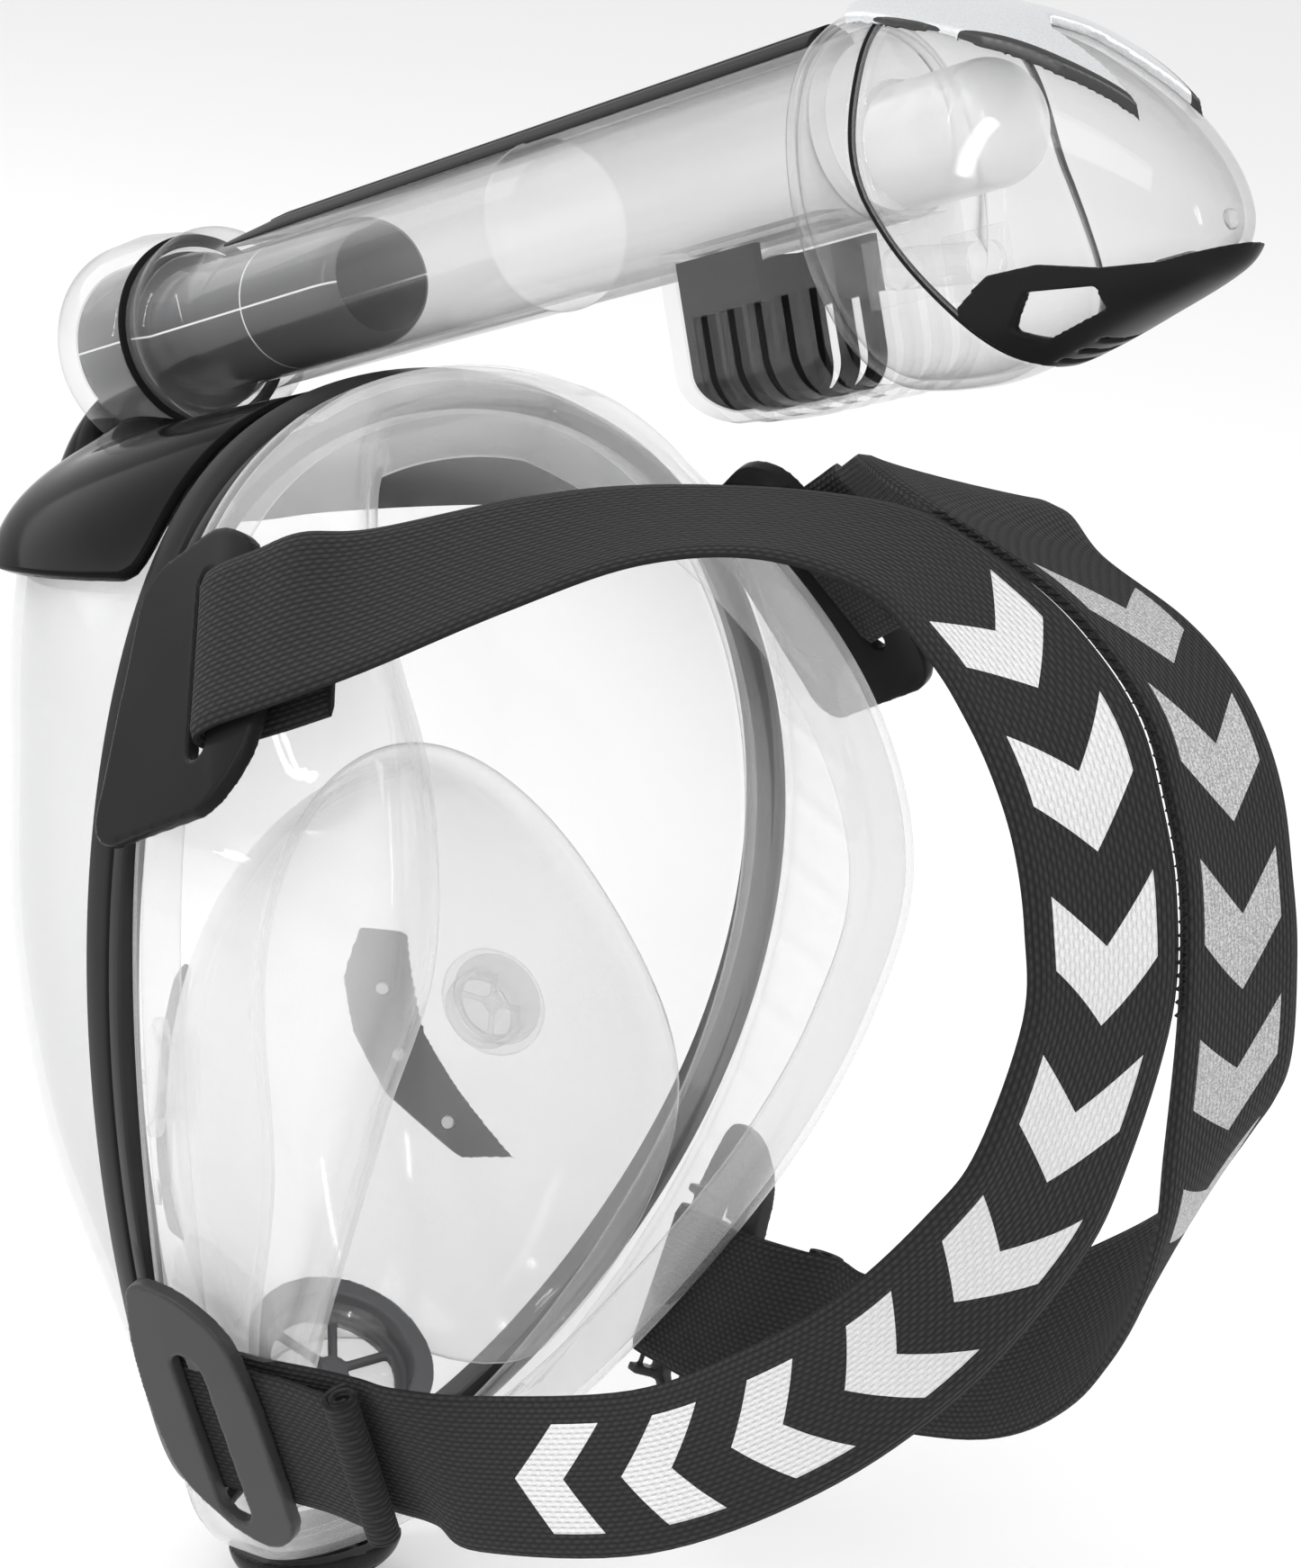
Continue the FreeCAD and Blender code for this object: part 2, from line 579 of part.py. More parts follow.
def make_chin_cover():
    """Drain cover under the chin, with a row of outlet slots."""
    levels = []
    for z, half, front, back in ((-161.5, 13, -44, -22), (-158, 18, -49, -17), (-153.2, 19.5, -51, -14)):
        levels.append(level_oval(z, half, front, back))
    cover = Part.makeLoft(levels, True, False)
    cover.rotate(Vector(0, -32, -155), Vector(1, 0, 0), 14.0)
    hollow = Part.makeLoft([level_oval(-159.2, 11.5, -42, -24), level_oval(-150, 16.5, -48, -17)], True, True)
    hollow.rotate(Vector(0, -32, -155), Vector(1, 0, 0), 14.0)
    cover = cover.cut(hollow)
    for i in range(-2, 3):
        cover = cover.cut(Part.makeBox(3.0, 60, 3.0, Vector(6.2 * i - 1.5, -32, -158.6)))
    return cover


# ---- strap tabs, buckles and straps -----------------------------------------------------------------------
class Plate:
    """A flat plate's own frame: l along its slot, m rearwards, n outwards from the mask."""

    def __init__(self, centre, along, rearward):
        self.centre = centre
        self.l = along.normalize()
        rear = rearward - self.l * rearward.dot(self.l)
        self.m = rear.normalize()
        self.n = self.m.cross(self.l)
        if self.n.x < 0:
            self.n = self.n.negative()

    def at(self, l, m, n):
        return self.centre + self.l * l + self.m * m + self.n * n

    def blank(self, corners, radius, low, high):
        """The plate's outline with rounded corners, between two heights."""
        points = []
        count = len(corners)
        edges = []
        for i, (l, m) in enumerate(corners):
            here = Vector(l, m, 0)
            before = Vector(*corners[i - 1], 0) - here
            after = Vector(*corners[(i + 1) % count], 0) - here
            reach = min(radius, before.Length * 0.45, after.Length * 0.45)
            points.append((here + before.normalize() * reach, here, here + after.normalize() * reach))
        for i, (start, corner, end) in enumerate(points):
            mid = (start + end) * 0.25 + corner * 0.5
            edges.append(Part.Arc(self.at(start.x, start.y, low), self.at(mid.x, mid.y, low),
                                  self.at(end.x, end.y, low)).toShape())
            following = points[(i + 1) % count][0]
            edges.append(Part.makeLine(self.at(end.x, end.y, low), self.at(following.x, following.y, low)))
        return Part.Face(Part.Wire(edges)).extrude(self.n * (high - low))

    def slot(self, length, width, m=0.0):
        half = length / 2 - width / 2
        ends = [(half, m), (-half, m)]
        body = None
        for l, mm in ends:
            drum = cylinder(width / 2, self.at(l, mm, -20), self.at(l, mm, 20))
            body = drum if body is None else body.fuse(drum)
        corners = [self.at(half, m - width / 2, -20), self.at(-half, m - width / 2, -20),
                   self.at(-half, m + width / 2, -20), self.at(half, m + width / 2, -20)]
        return body.fuse(Part.Face(closed_polygon(corners)).extrude(self.n * 40))


UPPER = Plate(Vector(78.5, 16.6, 89.75), Vector(-0.415, -0.605, 0.68), Vector(-0.143, 0.782, 0.607))
LOWER = Plate(Vector(65.3, 16.8, -81.5), Vector(-0.346, 0.068, -0.936), Vector(-0.237, 0.959, 0.156))
TAB_THICK, BEND_RADIUS, BAR_RADIUS = 3.2, 46.0, 0.7


def mask_body():
    """What the tabs and buckles are fitted against: the ring and the skirt."""
    if not hasattr(mask_body, "solid"):
        ring_zone = egg_prism(RING_PROUD + 0.02).common(saddle_slab(-RING_FRONT - 0.5, RING_REAR))
        skirt_zone = skirt_cone(0.05).common(curved_block(saddle_edge(RING_REAR - 0.2), rear_edge(0)))
        visor = lens_envelope(3.3).common(saddle_slab(-170, -RING_FRONT))
        mask_body.solid = ring_zone.fuse(skirt_zone).fuse(visor)
    return mask_body.solid


def make_upper_tab():
    """Plate from the ring to the strap: its rear part bends inwards with the strap."""
    plan = UPPER.blank([(28, -22), (30, 3), (23, 13), (-14, 17), (-26, 13), (-33, 4), (-28, -35)], 9.0, -16, 8)
    reach = 60.0
    start, rear = UPPER.at(-reach, -45, 0), UPPER.at(-reach, 2, 0)
    bend = [UPPER.at(-reach, 2 + BEND_RADIUS * math.sin(a), -BEND_RADIUS * (1 - math.cos(a))) for a in (0.25, 0.5)]
    inner = [start, rear]
    line = Part.makeLine(start, rear)
    arc = Part.Arc(inner[1], bend[0], bend[1]).toShape()
    top_start, top_rear = start + UPPER.n * TAB_THICK, rear + UPPER.n * TAB_THICK
    grown = BEND_RADIUS + TAB_THICK
    top_bend = [UPPER.at(-reach, 2 + grown * math.sin(a), TAB_THICK - grown * (1 - math.cos(a))) for a in (0.25, 0.5)]
    outer = [Part.makeLine(top_start, top_rear), Part.Arc(top_rear, top_bend[0], top_bend[1]).toShape()]
    wire = Part.Wire([line, arc, Part.makeLine(bend[1], top_bend[1]), outer[1], outer[0],
                      Part.makeLine(top_start, start)])
    slab = Part.Face(wire).extrude(UPPER.l * (2 * reach))
    tab = plan.common(slab).cut(UPPER.slot(SLOT_LENGTH, SLOT_WIDTH))
    return tab.cut(mask_body())


def make_lower_buckle():
    """Triangular plate with the strap's slot and a recessed bar that the strap goes round."""
    plate = LOWER.blank([(-40, -9), (-39, 4), (-31, 15), (-16, 17.5), (22, 17.5), (28.5, 9), (26, -1),
                         (15, -14), (-3, -15.5), (-23, -14)], 7.0, 0.0, TAB_THICK)
    plate = plate.cut(LOWER.slot(SLOT_LENGTH + 4, 8.6, 1.0))
    tooth = Part.Face(closed_polygon([LOWER.at(l, m, 0.6) for l, m in ((-24, 0.4), (-18.5, 0.8), (-18.5, 4.4),
                                                                       (-24, 6))])).extrude(LOWER.n * 2.0)
    plate = plate.fuse(tooth)
    bar = cylinder(BAR_RADIUS, LOWER.at(-23.0, -6.5, -3.65), LOWER.at(23.0, -6.5, -3.65))
    for l in (-23.0, 21.0):
        corners = [LOWER.at(l, -10.0, 0.5), LOWER.at(l, -4.0, 0.5), LOWER.at(l, -4.5, -5.6),
                   LOWER.at(l, -8.5, -5.6)]
        bar = bar.fuse(Part.Face(closed_polygon(corners)).extrude(LOWER.l * 2.0))
    return plate.fuse(bar).cut(mask_body())


# The strap's seam-side edge and free edge, from the upper tab round the head to the lower buckle.
SEAM_EDGE = [(59, 38, 122), (42, 61, 133), (26, 79, 139), (9, 105, 143.5), (1.0, 128, 144.5), (1.0, 154, 140),
             (1.0, 171, 133.5), (1.0, 184, 124.5), (1.0, 192, 112), (1.0, 198.5, 97), (1.4, 202, 76),
             (5, 200.5, 47), (10, 197, 27), (20, 184, -2), (32, 163, -30), (44, 132, -56), (51, 90, -76)]
FREE_EDGE = [(76, 63, 104.5), (63, 85, 121), (49, 104, 134), (38, 124, 140), (29, 143, 138), (31, 162, 132.5),
             (32.5, 174, 126), (33, 183, 118), (33, 190, 108), (33, 195, 95), (34, 198.5, 80),
             (39, 197, 56.5), (41, 190, 42), (45, 175, 20), (48, 155, 0), (49, 127, -22), (53, 87, -42)]
UPPER_LOOP = [(27, -8.6), (17, -6.2), (8, -3.6), (2.6, -2.4), (0.0, 0.8), (1.8, 4.6), (8, 5.2), (17, 3.4), (28, 1.0)]
LOWER_LOOP = [(56, -1.8, -8.0), (44, -3.8, -5.6), (32, -5.2, -3.4), (18, -5.6, -1.6), (4, -5.9, -0.6),
              (-6.5, -6.1, 0.0), (-9.4, -3.65, 0.0), (-6.5, -1.2, 0.0), (4, -1.4, -0.6), (18, -1.4, -1.6),
              (27, -0.6, -2.8), (36, 1.2, -4.2), (41, 2.2, -5.2)]


def strap_stations():
    """Pairs of edge points along the strap: the loop at the tab, the free run, the loop at the buckle."""
    half = STRAP_WIDTH / 2
    stations = [(UPPER.at(half, m, n), UPPER.at(-half, m, n)) for m, n in UPPER_LOOP]
    stations += [(Vector(*a), Vector(*b)) for a, b in zip(SEAM_EDGE, FREE_EDGE)]
    stations += [(LOWER.at(half + l, m, n), LOWER.at(-half + l, m, n)) for m, n, l in LOWER_LOOP]
    return stations


def strap_section(before, here, after):
    seam, free = here
    across = (free - seam).normalize()
    along = (after[0] + after[1] - before[0] - before[1]).normalize()
    normal = along.cross(across).normalize() * (STRAP_THICK / 2)
    return closed_polygon([seam + normal, free + normal, free - normal, seam - normal])


def ribbon(stations, step=5.0):
    """Closed strip through the stations: both edges are smooth curves cut into short straight pieces."""
    edges = []
    for side in (0, 1):
        curve = Part.BSplineCurve()
        curve.interpolate([pair[side] for pair in stations], Parameters=[float(i) for i in range(len(stations))])
        edges.append(curve)
    fine = []
    for i in range(len(stations) - 1):
        gap = (stations[i + 1][0] - stations[i][0]).Length
        count = max(1, int(round(gap / step)))
        fine += [tuple(edge.value(i + k / count) for edge in edges) for k in range(count)]
    fine.append(stations[-1])
    sections = []
    for i, here in enumerate(fine):
        before, after = fine[max(i - 1, 0)], fine[min(i + 1, len(fine) - 1)]
        sections.append(strap_section(before, here, after))
    return Part.makeLoft(sections, True, True)


def make_strap():
    return ribbon(strap_stations())


def make_strap_hem():
    """Rolled and sewn end of the strap's tail."""
    half = STRAP_WIDTH / 2 + 0.6
    return cylinder(3.2, LOWER.at(half - 5.6, 44.6, 2.4), LOWER.at(-half - 5.6, 44.6, 2.4))


# ---- write every piece --------------------------------------------------------------------------------------
os.makedirs("parts", exist_ok=True)


def check_and_write(name, shape):
    solids = shape.Solids
    if not solids or not shape.isValid():
        print("CHECK", name, "valid", shape.isValid(), "solids", len(solids))
    if len(solids) == 1:
        shape = solids[0]
    elif shape.ShapeType == "Compound":
        shape = Part.makeCompound(solids)
    box = shape.BoundBox
    print("%-22s solids %d volume %9.1f  x %.1f..%.1f y %.1f..%.1f z %.1f..%.1f" % (
        name, len(solids), shape.Volume, box.XMin, box.XMax, box.YMin, box.YMax, box.ZMin, box.ZMax))
    shape.exportStep("parts/%s.step" % name)


SINGLE_PIECES = {
    "visor_lens": make_visor_lens, "frame_ring": make_frame_ring, "face_skirt": make_face_skirt,
    "snorkel_socket": make_snorkel_socket, "tube_spigot": make_tube_spigot, "elbow_collar": make_elbow_collar,
    "collar_seal_ring": make_seal_ring, "snorkel_tube": make_snorkel_tube, "tube_stripe": make_tube_stripe,
    "vent_block": make_vent_block, "vent_liner": make_vent_frame, "cap_base": make_cap_base,
    "cap_gasket": make_cap_gasket, "cap_dome": make_cap_dome, "cap_top_bar": make_top_bar,
    "cap_lower_trim": make_lower_trim, "float_body": make_float, "float_seal": make_float_seal,
    "float_guide": make_float_guide, "nose_pocket": make_nose_pocket, "retainer_studs": make_retainer_studs,
    "chin_valve_housing": make_chin_housing, "chin_valve_flap": make_chin_flap, "chin_cover": make_chin_cover,
}
PAIRED_PIECES = {
    "upper_tab": make_upper_tab, "lower_buckle": make_lower_buckle, "head_strap": make_strap,
    "strap_hem": make_strap_hem, "retainer_strip": make_retainer_strip, "pocket_valve_seat": make_valve_seat,
    "pocket_valve_flap": make_valve_flap,
}

for piece, make in SINGLE_PIECES.items():
    check_and_write(piece, make())
for piece, make in PAIRED_PIECES.items():
    shape = make()
    for side, mirrored in SIDES:
        check_and_write("%s_%s" % (piece, side), on_side(shape, mirrored))
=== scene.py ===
import contextlib
import json
import math

import bmesh
import bpy
import numpy as np
from mathutils import Matrix, Vector


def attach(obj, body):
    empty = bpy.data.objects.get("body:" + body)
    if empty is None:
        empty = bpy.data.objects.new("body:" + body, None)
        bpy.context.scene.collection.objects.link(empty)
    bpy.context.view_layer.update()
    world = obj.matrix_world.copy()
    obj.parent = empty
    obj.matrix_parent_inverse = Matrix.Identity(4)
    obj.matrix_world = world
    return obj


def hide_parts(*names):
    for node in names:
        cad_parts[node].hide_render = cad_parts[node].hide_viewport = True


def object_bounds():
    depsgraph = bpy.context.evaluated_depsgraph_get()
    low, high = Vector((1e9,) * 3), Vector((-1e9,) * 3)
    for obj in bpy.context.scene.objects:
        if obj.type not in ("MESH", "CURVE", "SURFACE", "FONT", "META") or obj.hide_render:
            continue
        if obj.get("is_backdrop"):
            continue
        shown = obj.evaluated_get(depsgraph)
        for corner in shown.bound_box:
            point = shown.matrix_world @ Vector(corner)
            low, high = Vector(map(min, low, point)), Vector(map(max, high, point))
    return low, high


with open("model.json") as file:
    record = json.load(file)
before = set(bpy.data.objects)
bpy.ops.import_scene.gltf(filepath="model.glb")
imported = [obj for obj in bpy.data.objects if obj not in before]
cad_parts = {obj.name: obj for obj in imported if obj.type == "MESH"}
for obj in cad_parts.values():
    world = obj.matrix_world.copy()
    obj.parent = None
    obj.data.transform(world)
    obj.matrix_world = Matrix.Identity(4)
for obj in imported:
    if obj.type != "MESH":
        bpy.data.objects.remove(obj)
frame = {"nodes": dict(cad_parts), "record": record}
CAD_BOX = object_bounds()

bl_info = {
    "name": "Full Face Snorkel Mask",
    "version": (1, 0, 0),
    "blender": (4, 5, 0),
    "location": "3D View > Sidebar > Snorkel Mask",
    "description": "Builds the finished surfaces of a full face snorkel mask around its packed frame",
    "category": "Object",
}

MM = 0.001
SAME_PLACE = 2e-6
PARTING_LINE = 0.00022
SLOT_COLOURS = {m["slot"]: tuple(m["base_color"][:3]) for m in frame["record"]["materials"]}

# ---- sizes of the mask, in millimetres ----
RING_MIDDLE, RING_HALF_HEIGHT, RING_SADDLE_RADIUS = -9.0, 135.0, 280.0
VISOR_CENTRE, VISOR_HALF_SIZES = np.array([0.0, 14.0, RING_MIDDLE]), np.array([86.0, 114.0, RING_HALF_HEIGHT])
RING_FOOT, RING_BROW = -143.0, 125.9
LENS_ROUNDNESS = 2.5
LENS_DEPTH = np.array([
    (-144, 41), (-125, 51), (-105, 58), (-80, 66), (-60, 78), (-40, 89), (0, 98), (40, 103),
    (65, 113), (80, 117), (90, 109), (100, 92), (112, 65), (121, 43), (127, 31)], float)
SKIRT_REAR_EDGE = np.array([
    (-160, -30), (-115, -0.5), (-85, 17), (-51, 34.5), (-25, 46), (4, 56), (42, 64),
    (76, 52), (101, 27.5), (118, 3), (150, -58)], float)
SKIRT_TAPER = 0.25
TUBE_TILT, TUBE_ORIGIN_Z = math.radians(23.5), 166.2
TUBE_RADIUS, TUBE_SPREAD, TUBE_WALL = 17.0, 0.005, 1.8
TUBE_START, TUBE_END = -121.2, 113.5
STUB_FACE, COLLAR_END, SPIGOT_END = -148.0, -122.0, -50.0
HOOD_FRONT = -149.4
POD_START, POD_WALL = 109.5, 1.8
# Station along the snorkel's head, its crown, its keel and its half width.
POD_STATIONS = np.array([
    (109.5, 19.5, -46.5, 23.5), (114, 20.5, -48.5, 25.0), (130, 19.0, -50.0, 25.5),
    (143, 14.5, -48.5, 25.0), (156, 8.0, -46.0, 23.0), (167, 0.5, -43.5, 20.0),
    (176, -7.0, -41.5, 16.5), (184, -16.0, -39.5, 12.0), (189, -24.0, -37.5, 7.5),
    (192, -29.0, -34.0, 2.5)], float)
POD_SEAM = np.array([(-60, 150), (-38, 141), (-23, 133.5), (-10, 129), (8, 129), (30, 126)], float)
FLOAT_START, FLOAT_END, FLOAT_RADIUS, FLOAT_U = 116.4, 146.0, 11.5, -5.0
POCKET_CENTRE, POCKET_RADII = np.array([0.0, 10.0, -35.0]), np.array([54.0, 85.0, 88.0])
POCKET_RIM = np.array([(-110, -8), (-60, 10), (-24, 14), (12, -8), (46, -27), (60, -29)], float)
STRAP_WIDTH = 35.5
# The strap's seam-side edge and free edge, from the upper tab round the head to the lower buckle.
SEAM_EDGE = [
    (59, 38, 122), (42, 61, 133), (26, 79, 139), (9, 105, 143.5), (0.6, 128, 144.5), (0.6, 154, 140),
    (0.6, 171, 133.5), (0.6, 184, 124.5), (0.6, 192, 112), (0.6, 198.5, 97), (1.0, 202, 76),
    (5, 200.5, 47), (10, 197, 27), (20, 184, -2), (32, 163, -30), (44, 132, -56), (51, 90, -76)]
FREE_EDGE = [
    (76, 63, 104.5), (63, 85, 121), (49, 104, 134), (38, 124, 140), (29, 143, 138), (31, 162, 132.5),
    (32.5, 174, 126), (33, 183, 118), (33, 190, 108), (33, 195, 95), (34, 198.5, 80),
    (39, 197, 56.5), (41, 190, 42), (45, 175, 20), (48, 155, 0), (49, 127, -22), (53, 87, -42)]
# Strap loops in a plate's own frame: rearward, outward and, at the buckle, a shift along the slot.
UPPER_LOOP = [
    (27, -8.6, 0), (17, -6.2, 0), (8, -3.6, 0), (2.6, -2.4, 0), (0.0, 0.8, 0), (1.8, 4.6, 0),
    (8, 5.2, 0), (17, 3.4, 0), (28, 1.0, 0)]
LOWER_LOOP = [
    (56, -1.8, -8.0), (44, -3.8, -5.6), (32, -5.2, -3.4), (18, -5.6, -1.6), (4, -5.9, -0.6),
    (-6.5, -6.1, 0.0), (-9.4, -3.65, 0.0), (-6.5, -1.2, 0.0), (4, -1.4, -0.6), (18, -1.4, -1.6),
    (27, -0.6, -2.8), (36, 1.2, -4.2), (41, 2.2, -5.2)]
HEM_PLACE = (44.6, 2.6, -5.6)
VIEW_AZIMUTH, VIEW_ELEVATION, VIEW_ROLL = (math.radians(a) for a in (138.96, 20.2, 6.13))
FLOOR_REACH, FLOOR_GAP = 3.0, 0.0015
VIEW_PLACE, VIEW_LENS = (0.4928, 0.6237, 0.3442), 91.87


# ---- curves ----
def through(table, x):
    """Cubic curve through (x, y) rows; each slope is that of the line between the row's two neighbours."""
    xs, ys = table[:, 0], table[:, 1]
    slope = np.concatenate(([(ys[1] - ys[0]) / (xs[1] - xs[0])], (ys[2:] - ys[:-2]) / (xs[2:] - xs[:-2]),
                            [(ys[-1] - ys[-2]) / (xs[-1] - xs[-2])]))
    x = np.clip(np.asarray(x, float), xs[0], xs[-1])
    i = np.clip(np.searchsorted(xs, x, side="right") - 1, 0, len(xs) - 2)
    step = xs[i + 1] - xs[i]
    f = (x - xs[i]) / step
    return (ys[i] * (1 - f) ** 2 * (1 + 2 * f) + ys[i + 1] * f * f * (3 - 2 * f)
            + slope[i] * step * f * (1 - f) ** 2 - slope[i + 1] * step * f * f * (1 - f))


def spline(points, per_span):
    """Smooth path through points, cut into per_span pieces between neighbours; its knots are one apart."""
    points = np.asarray(points, float)
    knots = np.arange(len(points), dtype=float)
    at = np.linspace(0, len(points) - 1, (len(points) - 1) * per_span + 1)
    return np.stack([through(np.column_stack((knots, points[:, k])), at) for k in range(points.shape[1])],
                    axis=1)


def circle(count):
    """Angles of evenly spaced places round a circle."""
    return np.linspace(0, 2 * math.pi, count, endpoint=False)


def running_mean(values):
    """Mean of each value and its three neighbours on both sides, along a closed loop."""
    return np.convolve(np.concatenate((values[-3:], values, values[:3])), np.ones(7) / 7, "valid")


def run_length(path):
    """Distance along a path at each of its points."""
    return np.concatenate(([0.0], np.cumsum(np.linalg.norm(np.diff(path, axis=0), axis=1))))


def unit_rows(rows):
    return rows / np.linalg.norm(rows, axis=1)[:, None]


def signed_power(value, exponent):
    return np.sign(value) * np.abs(value) ** exponent


# ---- meshes ----
@contextlib.contextmanager
def mesh_work(mesh):
    """The mesh opened for editing, and written back at the end."""
    work = bmesh.new()
    work.from_mesh(mesh)
    yield work
    work.to_mesh(mesh)
    work.free()


def in_scene(name, data):
    thing = bpy.data.objects.new(name, data)
    bpy.context.scene.collection.objects.link(thing)
    return thing


def put_mesh(name, vertices, faces, uv=None):
    """A finished object in the scene from metres and faces; corners of one place are merged."""
    mesh = bpy.data.meshes.new(name)
    mesh.from_pydata(vertices.tolist(), [], faces)
    if uv is not None:
        layer = mesh.uv_layers.new(name="weave")
        layer.data.foreach_set("uv", np.asarray(uv, np.float32).ravel())
    with mesh_work(mesh) as work:
        bmesh.ops.remove_doubles(work, verts=work.verts, dist=1e-6)
        bmesh.ops.dissolve_degenerate(work, edges=work.edges, dist=1e-7)
    mesh.polygons.foreach_set("use_smooth", [True] * len(mesh.polygons))
    mesh.update()
    return in_scene(name, mesh)


def surface(name, grid, wrap_rows=False, wrap_columns=False, cap_ends=False, uv=None, flip=False):
    """A quad surface over a grid of points in millimetres, rows by columns.

    Each quad joins a point to its neighbours along both parameters; a wrapped parameter meets its own start,
    and cap_ends closes the first and last row with one face each."""
    rows, columns = grid.shape[:2]
    i, j = np.meshgrid(np.arange(rows - (not wrap_rows)), np.arange(columns - (not wrap_columns)),
                       indexing="ij")
    corner = lambda a, b: (a % rows) * columns + (b % columns)
    quads = np.stack((corner(i, j), corner(i, j + 1), corner(i + 1, j + 1), corner(i + 1, j)),
                     axis=-1).reshape(-1, 4)
    if flip:
        quads = quads[:, ::-1]
    faces = quads.tolist()
    corners_uv = None
    if uv is not None:
        picks = [uv[i, j], uv[i, j + 1], uv[i + 1, j + 1], uv[i + 1, j]]
        corners_uv = np.stack(picks[::-1] if flip else picks, axis=2).reshape(-1, 2)
    if cap_ends:
        first, last = list(range(columns)), [(rows - 1) * columns + k for k in range(columns)]
        ends = [first, last[::-1]] if flip else [first[::-1], last]
        faces += ends
        if corners_uv is not None:
            corners_uv = np.concatenate((corners_uv, np.zeros((2 * columns, 2))))
    return put_mesh(name, grid.reshape(-1, 3) * MM, faces, corners_uv)


def thicken(piece, thickness, offset=-1.0, even=True):
    wall = piece.modifiers.new("wall", "SOLIDIFY")
    wall.thickness, wall.offset, wall.use_even_offset = thickness * MM, offset, even
    return piece


def settle(piece):
    """Replaces the piece's mesh with the one its modifiers give."""
    graph = bpy.context.evaluated_depsgraph_get()
    made = bpy.data.meshes.new_from_object(piece.evaluated_get(graph))
    piece.modifiers.clear()
    piece.data = made
    return piece


def face_outwards(piece):
    with mesh_work(piece.data) as work:
        bmesh.ops.recalc_face_normals(work, faces=work.faces)
    return piece


def rounded_copy(node, name, voxel, rounds):
    """A node's solid rebuilt as an even skin with softened edges: small cells, then each point moves towards
    the mean of its neighbours a few times."""
    piece = in_scene(name, frame["nodes"][node].data.copy())
    piece.data.materials.clear()
    with mesh_work(piece.data) as work:
        bmesh.ops.remove_doubles(work, verts=work.verts, dist=SAME_PLACE)
    cells = piece.modifiers.new("cells", "REMESH")
    cells.mode, cells.voxel_size, cells.use_smooth_shade = "VOXEL", voxel * MM, True
    soften = piece.modifiers.new("soften", "SMOOTH")
    soften.factor, soften.iterations = 0.5, rounds
    bpy.context.view_layer.update()
    return settle(piece)


def merged_copy(node, name, angle=32.0):
    """A node's solid with its loose triangles merged, smooth except across edges sharper than the angle."""
    piece = in_scene(name, frame["nodes"][node].data.copy())
    with mesh_work(piece.data) as work:
        bmesh.ops.remove_doubles(work, verts=work.verts, dist=SAME_PLACE)
        bmesh.ops.dissolve_limit(work, angle_limit=math.radians(0.5), verts=work.verts, edges=work.edges)
        for edge in work.edges:
            edge.smooth = edge.calc_face_angle(0.0) < math.radians(angle)
        for face in work.faces:
            face.smooth = True
    return piece


def finish_piece(piece, material, body, slot, *nodes):
    piece.data.materials.clear()
    piece.data.materials.append(material)
    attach(piece, body)
    if nodes:
        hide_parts(*nodes)
    return piece


def softened(node, name, voxel, rounds, look, body, slot):
    """A node's softened copy, finished, in place of the node."""
    return finish_piece(rounded_copy(node, name, voxel, rounds), finishes()[look], body, slot, node)


# ---- shader building ----
def by_node(operation):
    return lambda self, other: self.math(operation, other)


class Signal:
    """A number on a node socket that can be used in sums; each operator adds one Math node."""

    def __init__(self, finish, socket):
        self.finish, self.socket = finish, socket

    def math(self, operation, *others):
        node = self.finish.add("ShaderNodeMath", {"operation": operation},
                               dict(enumerate((self,) + others)))
        return Signal(self.finish, node.outputs[0])

    __add__ = __radd__ = by_node("ADD")
    __mul__ = __rmul__ = by_node("MULTIPLY")
    __sub__, __truediv__, __pow__ = by_node("SUBTRACT"), by_node("DIVIDE"), by_node("POWER")
    __gt__, __lt__ = by_node("GREATER_THAN"), by_node("LESS_THAN")

    def __rsub__(self, other):
        return (self * -1.0) + other


